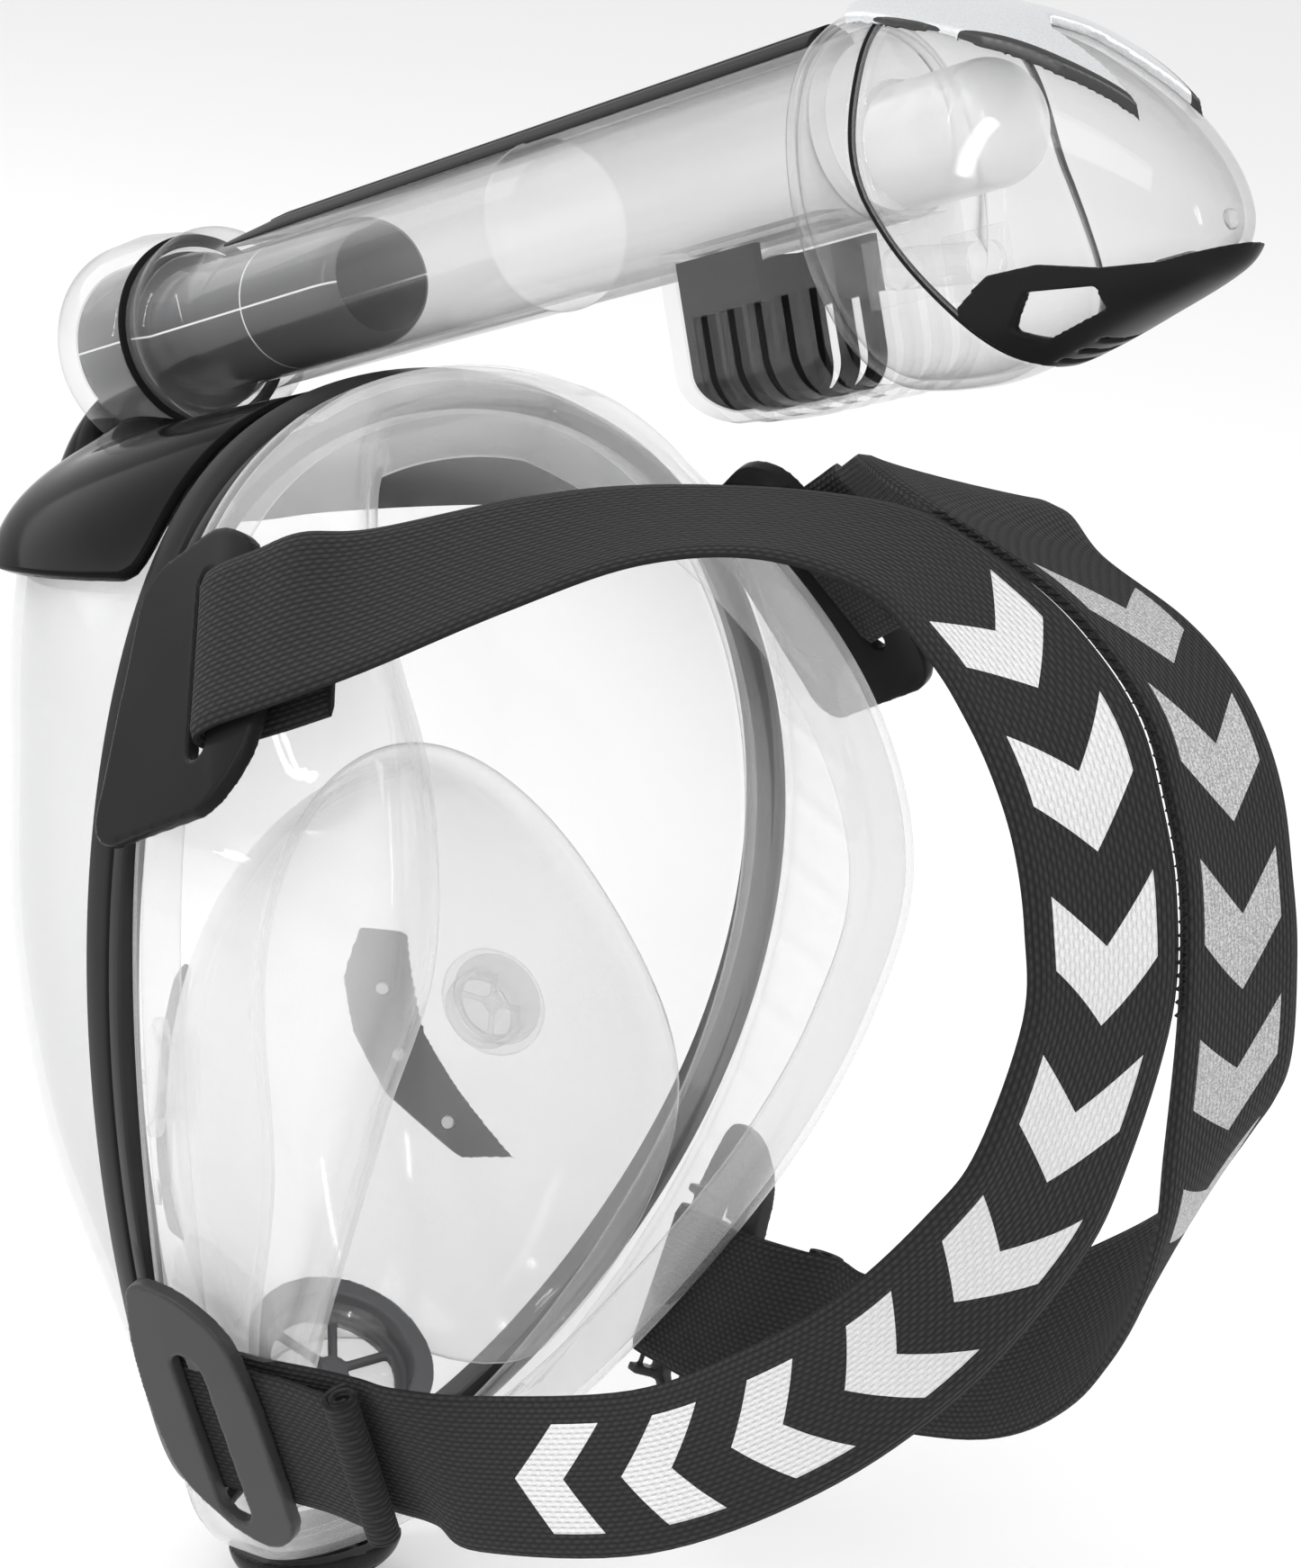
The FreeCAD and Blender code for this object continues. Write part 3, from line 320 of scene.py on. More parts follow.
class Finish:
    """A material under construction: the principled shader, and the nodes that vary it."""

    def __init__(self, name, colour, **constants):
        self.material = bpy.data.materials.new(name)
        self.material.use_nodes = True
        self.tree = self.material.node_tree
        self.shader = self.tree.nodes["Principled BSDF"]
        self.output = self.tree.nodes["Material Output"]
        self.shader.inputs["Base Color"].default_value = (*colour, 1.0)
        for key, value in constants.items():
            self.shader.inputs[key.replace("_", " ").title().replace("Ior", "IOR")].default_value = value

    def add(self, kind, settings=None, inputs=None):
        node = self.tree.nodes.new(kind)
        for key, value in (settings or {}).items():
            setattr(node, key, value)
        for key, value in (inputs or {}).items():
            if isinstance(value, Signal):
                value = value.socket
            if isinstance(value, bpy.types.NodeSocket):
                self.tree.links.new(value, node.inputs[key])
            else:
                node.inputs[key].default_value = value
        return node

    def link(self, name, signal):
        self.tree.links.new(signal.socket if isinstance(signal, Signal) else signal, self.shader.inputs[name])

    def signal(self, node, output=0):
        return Signal(self, node.outputs[output])

    def place(self):
        return self.add("ShaderNodeTexCoord").outputs["Object"]

    def axes(self, vector):
        split = self.add("ShaderNodeSeparateXYZ", None, {0: vector})
        return [Signal(self, split.outputs[k]) for k in range(3)]

    def noise(self, vector, scale, detail=3.0):
        return self.signal(self.add("ShaderNodeTexNoise", None, {"Vector": vector, "Scale": scale,
                                                                 "Detail": detail}))

    def blend(self, factor, low, high):
        """Colour between low and high by a factor."""
        mix = self.add("ShaderNodeMix", {"data_type": "RGBA"}, {0: factor, 6: low, 7: high})
        return mix.outputs[2]

    def bump(self, height, strength, distance):
        node = self.add("ShaderNodeBump", None,
                        {"Strength": strength, "Distance": distance, "Height": height})
        self.tree.links.new(node.outputs[0], self.shader.inputs["Normal"])

    def facing(self):
        """0 where the surface faces the eye, 1 at its outline."""
        return self.signal(self.add("ShaderNodeLayerWeight", None, {"Blend": 0.5}), 1)

    def see_through(self, body, shine):
        """Clear stuff: the body shader over nothing by one factor, then a mirror film by another."""
        nothing = self.add("ShaderNodeBsdfTransparent", None, {0: (1, 1, 1, 1)})
        film = self.add("ShaderNodeBsdfGlossy", None, {"Color": (1, 1, 1, 1), "Roughness": 0.06})
        inner = self.add("ShaderNodeMixShader", None,
                         {0: body, 1: nothing.outputs[0], 2: self.shader.outputs[0]})
        outer = self.add("ShaderNodeMixShader", None, {0: shine, 1: inner.outputs[0], 2: film.outputs[0]})
        self.tree.links.new(outer.outputs[0], self.output.inputs["Surface"])
        return self.material


def grey(level):
    return (level, level, level, 1.0)


# ---- materials ----
def clear_plastic(name, face_on=0.03, edge_on=0.75, edge_power=3.0, tone=0.42):
    """Clear moulded plastic: nearly nothing face on, grey towards its outline as painted shade for the darker
    surroundings seen through its rim, with a mirror film.
    """
    look = Finish(name, (tone, tone, tone * 1.01), roughness=0.16, specular_ior_level=0.2)
    facing = look.facing()
    haze = look.noise(look.place(), 22.0) * 0.02
    # The body thickens towards the outline, so its grey tone paints the shade seen through the rim.
    return look.see_through(facing ** edge_power * (edge_on - face_on) + face_on + haze,
                            facing ** 5.0 * 0.30 + 0.012)


def milky_silicone(name, face_on=0.13, edge_on=0.72, tone=0.80):
    look = Finish(name, (tone, tone, tone), roughness=0.30, specular_ior_level=0.25)
    facing = look.facing()
    cloud = look.noise(look.place(), 14.0) * 0.07
    look.bump(look.noise(look.place(), 60.0, 1.0), 0.25, 0.0006)
    return look.see_through(facing ** 2.2 * (edge_on - face_on) + face_on + cloud,
                            facing ** 4.0 * 0.25 + 0.015)


def moulded(name, level, roughness, grain=0.0, gloss=0.08):
    """Coloured moulded plastic: slow change in gloss, fine grain, faint wear in colour."""
    base = (level, level, level * 1.04)
    look = Finish(name, base, roughness=roughness, specular_ior_level=gloss)
    slow, fine = look.noise(look.place(), 45.0), look.noise(look.place(), 2600.0, 2.0)
    look.link("Roughness", slow * 0.12 + (roughness - 0.06))
    lighter = tuple(min(1.0, c * 1.35 + 0.003) for c in base)
    look.link("Base Color", look.blend(slow, (*base, 1.0), (*lighter, 1.0)))
    look.bump(fine * grain, 0.5, 0.0001)
    return look.material


def webbing(name, mark_tone, sparkle):
    """Knitted elastic: rows of short stitches along the strap, a ribbed selvedge, printed bars outside."""
    look = Finish(name, SLOT_COLOURS["webbing_black"], roughness=0.85, sheen_weight=0.04, sheen_roughness=0.5,
                  specular_ior_level=0.10)
    across, along, _ = look.axes(look.add("ShaderNodeUVMap", {"uv_map": "weave"}).outputs[0])
    rows = across / (1.15 * MM)
    row = rows.math("FLOOR")
    ridge = ((rows - row) * math.pi).math("SINE")
    beat = ((along / (2.6 * MM) + row * 0.5) * (2 * math.pi)).math("SINE") * 0.5 + 0.5
    stitch = ridge * (beat * 0.6 + 0.4)
    fuzz = look.noise(look.place(), 1500.0)
    broad = look.noise(look.place(), 60.0)
    width = STRAP_WIDTH * MM
    off_centre = (across - width / 2).math("ABSOLUTE")
    chevron = (along + off_centre * 0.9) / 0.030
    phase = chevron - chevron.math("FLOOR")
    printed = ((phase < 0.46) * (off_centre < width * 0.34) * (chevron > 7.0) * (chevron < 15.6)
               * (across < 0.5))
    # The ground is lighter on the stitch tops and darker in the grooves between rows, following the bump:
    # painted sheen and painted shade, over random fuzz.
    ground = look.blend(stitch * 0.75 + fuzz * 0.3, (0.006, 0.006, 0.0063, 1), (0.034, 0.034, 0.035, 1))
    ink_dark, ink_light = grey(mark_tone * 0.55), grey(mark_tone)
    ink = look.blend((look.noise(look.place(), 2400.0) > 0.5) * sparkle + broad * 0.15, ink_light, ink_dark)
    look.link("Base Color", look.blend(printed, ground, ink))
    look.link("Roughness", 0.88 - printed * 0.35)
    look.bump(stitch * 0.8 + fuzz * 0.3 + printed * 0.5, 0.9, 0.0006)
    return look.material


def finishes():
    """Every finish of the mask, made once."""
    if not hasattr(finishes, "made"):
        finishes.made = {
            "visor": clear_plastic("visor_clear", 0.10, 0.70, 2.2, 0.50),
            "tube": clear_plastic("tube_clear", 0.02, 0.75, 3.0, 0.22),
            "head": clear_plastic("head_clear", 0.025, 0.70, 2.8, 0.26),
            "skirt": milky_silicone("skirt_silicone", 0.12, 0.50, 0.74),
            "pocket": milky_silicone("pocket_silicone", 0.12, 0.55, 0.62),
            "ring": moulded("ring_plastic", 0.018, 0.30, 0.15, 0.06),
            "socket": moulded("socket_plastic", 0.003, 0.10, 0.02, 0.015),
            "tab": moulded("tab_plastic", 0.009, 0.18, 0.25, 0.035),
            "buckle": moulded("buckle_plastic", 0.030, 0.30, 0.30, 0.14),
            "strip": moulded("strip_plastic", 0.035, 0.34, 0.2, 0.10),
            "stud": moulded("stud_plastic", 0.75, 0.15, 0.05, 0.5),
            "valve": clear_plastic("valve_clear_plastic", 0.05, 0.50, 2.4, 0.55),
            "chin_valve": moulded("chin_valve_plastic", 0.11, 0.26, 0.1, 0.2),
            "flap": milky_silicone("flap_silicone", 0.16, 0.60, 0.75),
            "seal": moulded("seal_rubber", 0.008, 0.42, 0.3, 0.03),
            "spigot": spigot_plastic(),
            "stripe": moulded("stripe_rubber", 0.008, 0.28, 0.15, 0.04),
            "bar": silver_bar(),
            "trim": moulded("trim_plastic", 0.008, 0.30, 0.3, 0.05),
            "liner": moulded("liner_plastic", 0.008, 0.32, 0.2, 0.03),
            "float": milky_silicone("float_plastic", 0.30, 0.80, 0.78),
            "chin": moulded("chin_plastic", 0.010, 0.26, 0.2, 0.06),
            "strap_left": webbing("webbing_grey_print", 0.66, 0.15),
            "strap_right": webbing("webbing_silver_print", 0.52, 0.8),
            "thread": moulded("thread_black", 0.012, 0.7, 0.6, 0.05),
        }
    return finishes.made


def spigot_plastic():
    """Black sleeve with painted reflection bands, lighter and darker with height round it, and two fine pale
    parting lines, one along it and one round it.
    """
    look = Finish("spigot_plastic", SLOT_COLOURS["spigot_black"], roughness=0.2, specular_ior_level=0.12)
    _, y, z = look.axes(look.place())
    along = y * math.cos(TUBE_TILT) + (z - TUBE_ORIGIN_Z * MM) * math.sin(TUBE_TILT)
    up = (z - TUBE_ORIGIN_Z * MM) * math.cos(TUBE_TILT) - y * math.sin(TUBE_TILT)
    line_along = up.math("ABSOLUTE") < PARTING_LINE
    line_round = (along + 0.084).math("ABSOLUTE") < PARTING_LINE
    # Painted reflection bands: the sleeve's colour swings lighter and darker with height round the tube.
    band = ((up * 260.0).math("SINE") * 0.5 + 0.5) * 0.6
    base = look.blend(band, (0.03, 0.03, 0.031, 1), (0.16, 0.16, 0.165, 1))
    look.link("Base Color", look.blend((line_along + line_round).math("MINIMUM", 1.0), base, grey(0.75)))
    return look.material


def silver_bar():
    """Fine silver lacquer that turns black towards the strip's lower edges."""
    look = Finish("silver_bar", SLOT_COLOURS["bar_silver"], roughness=0.3, metallic=0.6)
    x, y, _ = look.axes(look.place())
    edge = x.math("ABSOLUTE") + (y - 0.132).math("MAXIMUM", 0.0) * 0.22
    dark = edge > 0.0150
    flake = look.noise(look.place(), 3000.0)
    silver = look.blend(flake, (0.42, 0.43, 0.44, 1), (0.72, 0.73, 0.74, 1))
    look.link("Base Color", look.blend(dark, silver, (0.012, 0.012, 0.012, 1)))
    look.link("Metallic", 0.6 - dark * 0.6)
    return look.material


# ---- the mask's own coordinates ----
def ring_point(turn):
    """Egg outline: x = cos t (83.2 + 22.5 sin t + 17 sin^6 t), z = middle + half height * sin t."""
    s, c = np.sin(turn), np.cos(turn)
    return c * (83.2 + 22.5 * s + 17.0 * s ** 6), RING_MIDDLE + RING_HALF_HEIGHT * s


def ring_outward(turn):
    """Unit vector out of the egg outline, from the difference of two near points turned a quarter."""
    (xa, za), (xb, zb) = ring_point(turn + 0.002), ring_point(turn - 0.002)
    dx, dz = xa - xb, za - zb
    size = np.hypot(dx, dz)
    return dz / size, -dx / size


def saddle(z):
    return np.sqrt(RING_SADDLE_RADIUS ** 2 - z * z) - RING_SADDLE_RADIUS


def outside_visor(points, gap):
    """Points pushed level and outwards until none is inside the visor's form grown by a gap.

    With r the share of the form's own section at which a point lies, it moves out by (1 + r^-24)^(1/24)."""
    centre, factors = VISOR_CENTRE, 1 + gap / VISOR_HALF_SIZES
    p = centre + (points - centre) / factors
    x, y, z = p[..., 0], p[..., 1], np.clip(p[..., 2], RING_FOOT, RING_BROW)
    wide = ring_point(np.arcsin((z - RING_MIDDLE) / RING_HALF_HEIGHT))[0]
    rear = saddle(z)
    share = ((np.abs(x) / wide) ** LENS_ROUNDNESS
             + (np.maximum(rear - y,
                           0) / (through(LENS_DEPTH, z) + rear)) ** LENS_ROUNDNESS) ** (1 / LENS_ROUNDNESS)
    inside = p[..., 2] < RING_BROW
    push = np.where(inside, (1 + np.maximum(share, 0.2) ** -24.0) ** (1 / 24.0), 1.0)
    moved = np.stack((x * push, rear - (rear - y) * push, p[..., 2]), axis=-1)
    return centre + (moved - centre) * factors


def swept_ring(turns, profile):
    """Profile of (outward, rearward) pairs carried round the egg outline on its saddle."""
    x, z = ring_point(turns)
    nx, nz = ring_outward(turns)
    out, back = profile[None, :, 0], profile[None, :, 1]
    z_out = z[:, None] + nz[:, None] * out
    return np.stack((x[:, None] + nx[:, None] * out, saddle(z_out) + back, z_out), axis=-1)


def visor_form(lift, turn, grow=0.0):
    """Visor skin: level superellipses |x/w|^n + |y/d|^n = 1 in front of the ring, from chin to brow."""
    x_wide, z = ring_point(lift)
    rear, deep = saddle(z), through(LENS_DEPTH, z)
    x = x_wide * signed_power(np.cos(turn), 2 / LENS_ROUNDNESS)
    y = rear - (deep + rear) * signed_power(np.sin(turn), 2 / LENS_ROUNDNESS)
    grown = 1 + grow / VISOR_HALF_SIZES
    return VISOR_CENTRE + (np.stack(np.broadcast_arrays(x, y, z), axis=-1) - VISOR_CENTRE) * grown


def on_tube(x, s, u):
    """A point across, along and above the snorkel's axis, turned into the mask's own axes."""
    c, k = math.cos(TUBE_TILT), math.sin(TUBE_TILT)
    return np.stack(np.broadcast_arrays(x, s * c - u * k, TUBE_ORIGIN_Z + s * k + u * c), axis=-1)


def turned(name, profile, material, body, slot, *nodes, lift=0.0, count=96):
    """Solid of revolution about the snorkel's axis: each (station, radius) runs round a circle."""
    profile = np.array(profile, float)
    turn = circle(count)[None, :]
    s, r = profile[:, :1], profile[:, 1:2]
    grid = on_tube(r * np.cos(turn), s + 0 * turn, lift + r * np.sin(turn))
    closed = abs(profile[0, 1]) > 1e-6
    piece = face_outwards(surface(name, grid, wrap_rows=closed, wrap_columns=True))
    bevel_shade(piece)
    return finish_piece(piece, material, body, slot, *nodes)


def bevel_shade(piece, width=0.25, angle=35.0):
    """Small round on sharp edges, so they catch light."""
    bevel = piece.modifiers.new("edge_round", "BEVEL")
    bevel.width, bevel.segments, bevel.limit_method = width * MM, 2, "ANGLE"
    bevel.angle_limit, bevel.harden_normals = math.radians(angle), False
    bevel.use_clamp_overlap = True
    return piece


def tube_radius(s):
    return TUBE_RADIUS + TUBE_SPREAD * s


def pod_form(s, turn, grow=0.0):
    """Snorkel head: superellipse sections between crown and keel, a little narrower at the keel."""
    top, bottom, half = (through(POD_STATIONS[:, (0, k)], s) for k in (1, 2, 3))
    top, bottom, half = top + grow, bottom - grow, np.maximum(half + grow, 0.2)
    up = signed_power(np.sin(turn), 2 / 2.3)
    narrow = 1 - 0.14 * np.maximum(0.0, -up)
    return half * narrow * signed_power(np.cos(turn), 2 / 2.3), (top + bottom) / 2 + (top - bottom) / 2 * up


class PlateFrame:
    """A flat plate's own axes: l along its slot, m rearwards, n outwards."""

    def __init__(self, centre, along, rearward):
        self.centre = np.array(centre, float)
        self.l = np.array(along, float) / np.linalg.norm(along)
        rear = np.array(rearward, float)
        rear -= self.l * (rear @ self.l)
        self.m = rear / np.linalg.norm(rear)
        self.n = np.cross(self.m, self.l)
        if self.n[0] < 0:
            self.n = -self.n

    def at(self, l, m, n):
        return self.centre + self.l * l + self.m * m + self.n * n


UPPER = PlateFrame((78.5, 16.6, 89.75), (-0.415, -0.605, 0.68), (-0.143, 0.782, 0.607))
LOWER = PlateFrame((65.3, 16.8, -81.5), (-0.346, 0.068, -0.936), (-0.237, 0.959, 0.156))


# ---- what a user may change ----
def length(name, description, default, low=1.0, high=4.0):
    """A length setting, given in millimetres."""
    return bpy.props.FloatProperty(name=name, description=description, default=default * MM, min=low * MM,
                                   max=high * MM, unit="LENGTH")


class SnorkelMaskSettings(bpy.types.PropertyGroup):
    visor_wall: length("Visor wall", "Thickness of the clear visor", 2.4)
    skirt_wall: length("Skirt wall", "Thickness of the silicone skirt", 1.8)
    strap_thickness: length("Strap thickness", "Thickness of the elastic webbing", 2.0)
    rib_height: length("Rib height", "Height of the ribs on the skirt's sides", 0.7, 0, 2)
    floor_colour: bpy.props.FloatVectorProperty(name="Floor", description="Colour of the studio floor",
                                                default=(0.84, 0.84, 0.84), size=3, min=0, max=1,
                                                subtype="COLOR")


def settings():
    return bpy.context.scene.snorkel_mask


# ---- pieces ----
class SNORKEL_OT_visor(bpy.types.Operator):
    """Clear visor in front of the ring"""
    bl_idname = "snorkel.visor"
    bl_label = "Visor"

    def execute(self, context):
        lift = np.linspace(-math.pi / 2 + 0.012, math.pi / 2 - 0.012, 110)[:, None]
        turn = np.linspace(0.0, math.pi, 97)[None, :]
        piece = face_outwards(surface("visor_shell", visor_form(lift, turn, -0.2)))
        thicken(piece, settings().visor_wall / MM)
        finish_piece(piece, finishes()["visor"], "mask", "clear_pc", "visor_lens")
        return {"FINISHED"}


class SNORKEL_OT_ring(bpy.types.Operator):
    """Frame ring between visor and skirt"""
    bl_idname = "snorkel.ring"
    bl_label = "Frame ring"

    def execute(self, context):
        profile = np.array([(0.35, -6.6), (0.9, -7.1), (2.0, -7.1), (2.6, -6.4), (2.6, -0.6), (2.2, 0.0),
                            (1.3, 0.2), (1.3, 1.0), (2.1, 1.3), (2.3, 1.8), (2.3, 4.9), (1.8, 5.6),
                            (-2.2, 5.6), (-2.8, 5.0), (-2.8, 0.9), (-2.3, 0.4), (0.1, 0.35)])
        turns = circle(240)
        piece = face_outwards(surface("ring_band", swept_ring(turns, profile), wrap_rows=True,
                                      wrap_columns=True))
        bevel_shade(piece, 0.2)
        finish_piece(piece, finishes()["ring"], "mask", "ring_grey", "frame_ring")
        return {"FINISHED"}


class SNORKEL_OT_skirt(bpy.types.Operator):
    """Silicone skirt with its ribs, rim and face seal"""
    bl_idname = "snorkel.skirt"
    bl_label = "Face skirt"

    def execute(self, context):
        # Share of the way from ring to rear edge, inward step and rearward step.
        profile = spline([(0, 9.5, 1.9), (0, 5, 1.3), (0, 1.4, 1.2), (0.01, 0.1, 1.6), (0.12, 0, 0),
                          (0.35, 0, 0),
                          (0.6, 0, 0), (0.85, 0, 0), (0.97, 0.2, 0), (1, 1.6, 0.5), (1, 4.5, 0.8),
                          (1, 9, -0.2),
                          (1, 14, -3.2)], 5)
        turns = circle(420)
        x, z = ring_point(turns)
        nx, nz = ring_outward(turns)
        rear = through(SKIRT_REAR_EDGE, z)
        for _ in range(4):
            rear = through(SKIRT_REAR_EDGE, z - SKIRT_TAPER * rear * nz)
        front = saddle(z) + 6.1
        front, rear = front[:, None], np.maximum(rear, front + 9.0)[:, None]
        w, inward, aft = (profile[None, :, k] for k in range(3))
        y_wall = front + (rear - front) * w
        z_at = z[:, None] + 0 * w
        ribs = sum(np.exp(-((z_at - level) / 1.3) ** 2) for level in range(-100, 70, 17))
        ribs = ribs * (w > 0.02) * np.exp(-((w - 0.28) / 0.26) ** 4) * np.abs(nx)[:, None] ** 4
        out = -SKIRT_TAPER * y_wall - inward + ribs * settings().rib_height / MM
        grid = np.stack((x[:, None] + nx[:, None] * out, y_wall + aft, z[:, None] + nz[:, None] * out),
                        axis=-1)
        piece = face_outwards(surface("skirt_wall", grid, wrap_rows=True))
        thicken(piece, settings().skirt_wall / MM, even=False)
        finish_piece(piece, finishes()["skirt"], "mask", "silicone_clear", "face_skirt")
        return {"FINISHED"}


def pocket_rim_angle(around):
    """How far from the front pole the pocket's rim lies in each direction: the first place behind the rim
    line."""
    steps = np.linspace(0.3, 2.4, 600)[:, None]
    y = POCKET_CENTRE[1] - POCKET_RADII[1] * np.cos(steps)
    z = POCKET_CENTRE[2] + POCKET_RADII[2] * np.sin(steps) * np.sin(around)[None, :]
    behind = (y > through(POCKET_RIM, z)) | (z < -104.0)
    return steps[np.argmax(behind, axis=0), 0]


class SNORKEL_OT_pocket(bpy.types.Operator):
    """Oral and nasal pocket with cheek valves and retainer strips"""
    bl_idname = "snorkel.pocket"
    bl_label = "Nose pocket"

    def execute(self, context):
        looks = finishes()
        around = circle(160)
        limit = running_mean(pocket_rim_angle(around))
        share = np.linspace(0.0, 1.0, 60)[:, None]
        theta = 0.02 + (limit[None, :] - 0.02) * share
        flare = 1 + 0.035 * np.maximum(0, (share - 0.94) / 0.06) ** 2
        direction = np.stack((np.sin(theta) * np.cos(around), -np.cos(theta), np.sin(theta) * np.sin(around)),
                             axis=-1)
        grid = POCKET_CENTRE + direction * POCKET_RADII * flare[..., None]
        piece = face_outwards(surface("pocket_cup", grid, wrap_columns=True, cap_ends=False))
        thicken(piece, 1.9)
        finish_piece(piece, looks["pocket"], "mask", "silicone_clear", "nose_pocket")
        for side in ("left", "right"):
            softened("retainer_strip_" + side, "strip_" + side, 0.45, 4, "strip", "mask", "strip_grey")
            softened("pocket_valve_seat_" + side, "cheek_seat_" + side, 0.4, 2, "valve", "mask",
                     "valve_clear")
            softened("pocket_valve_flap_" + side, "cheek_flap_" + side, 0.3, 2, "flap", side + "_cheek_flap",
                     "flap_silicone")
        softened("retainer_studs", "strip_studs", 0.25, 2, "stud", "mask", "stud_clear")
        return {"FINISHED"}


class SNORKEL_OT_socket(bpy.types.Operator):
    """Black cowl and air duct on the brow"""
    bl_idname = "snorkel.socket"
    bl_label = "Snorkel socket"

    def execute(self, context):
        turn = circle(200)
        top, foot = self.collar_line(turn), self.foot_line(turn)
        t = np.linspace(0, 1, 40)[:, None, None]
        ahead = np.clip(np.cos(turn) + 0.75, 0, 1)[:, None]
        shoulder = top * 0.12 + foot * 0.88
        shoulder[:, 2] = top[:, 2] - 6.0
        crown = (top + foot) / 2 + np.array([0, 0, 3.0])
        middle = crown * (1 - ahead) + shoulder * ahead
        grid = top * (1 - t) ** 2 + middle * 2 * t * (1 - t) + foot * t ** 2
        piece = face_outwards(surface("socket_hood", outside_visor(grid, 3.0), wrap_columns=True))
        thicken(piece, 2.0, even=False)
        finish_piece(piece, finishes()["socket"], "mask", "socket_black", "snorkel_socket")
        return {"FINISHED"}

    def collar_line(self, turn):
        """Where the hood meets the collar: along its underside, and up its closed front end."""
        radius = 24.7
        x = 18.0 * np.sin(turn)
        s = -130.0 - 26.0 * np.cos(turn)
        rise = np.clip((HOOD_FRONT - s) / 6.6, 0, 1)
        s = np.maximum(s, HOOD_FRONT)
        return on_tube(x, s, -np.sqrt(radius ** 2 - x ** 2) + 20.0 * rise)

    def foot_line(self, turn):
        """The hood's edge: furthest point of the socket in each direction, seen from above, smoothed."""
        mesh = frame["nodes"]["snorkel_socket"].data
        spots = np.empty(len(mesh.vertices) * 3, np.float32)
        mesh.vertices.foreach_get("co", spots)
        spots = spots.reshape(-1, 3) / MM
        edge = (np.abs(spots[:, 2] - 60.5 - 0.285 * (spots[:, 1] + 146)) < 0.8) | (
            np.abs(spots[:, 1] - saddle(spots[:, 2]) + 7.2) < 0.8)
        spots = spots[edge]
        heading = np.arctan2(spots[:, 0], -(spots[:, 1] + 75.0))
        reach = np.hypot(spots[:, 0], spots[:, 1] + 75.0)
        lines = []
        for angle in turn:
            near = np.abs((heading - angle + math.pi) % (2 * math.pi) - math.pi) < 0.06
            lines.append(spots[near][np.argmax(reach[near])])
        lines = np.array(lines)
        return np.stack([running_mean(lines[:, k]) for k in range(3)], axis=1)


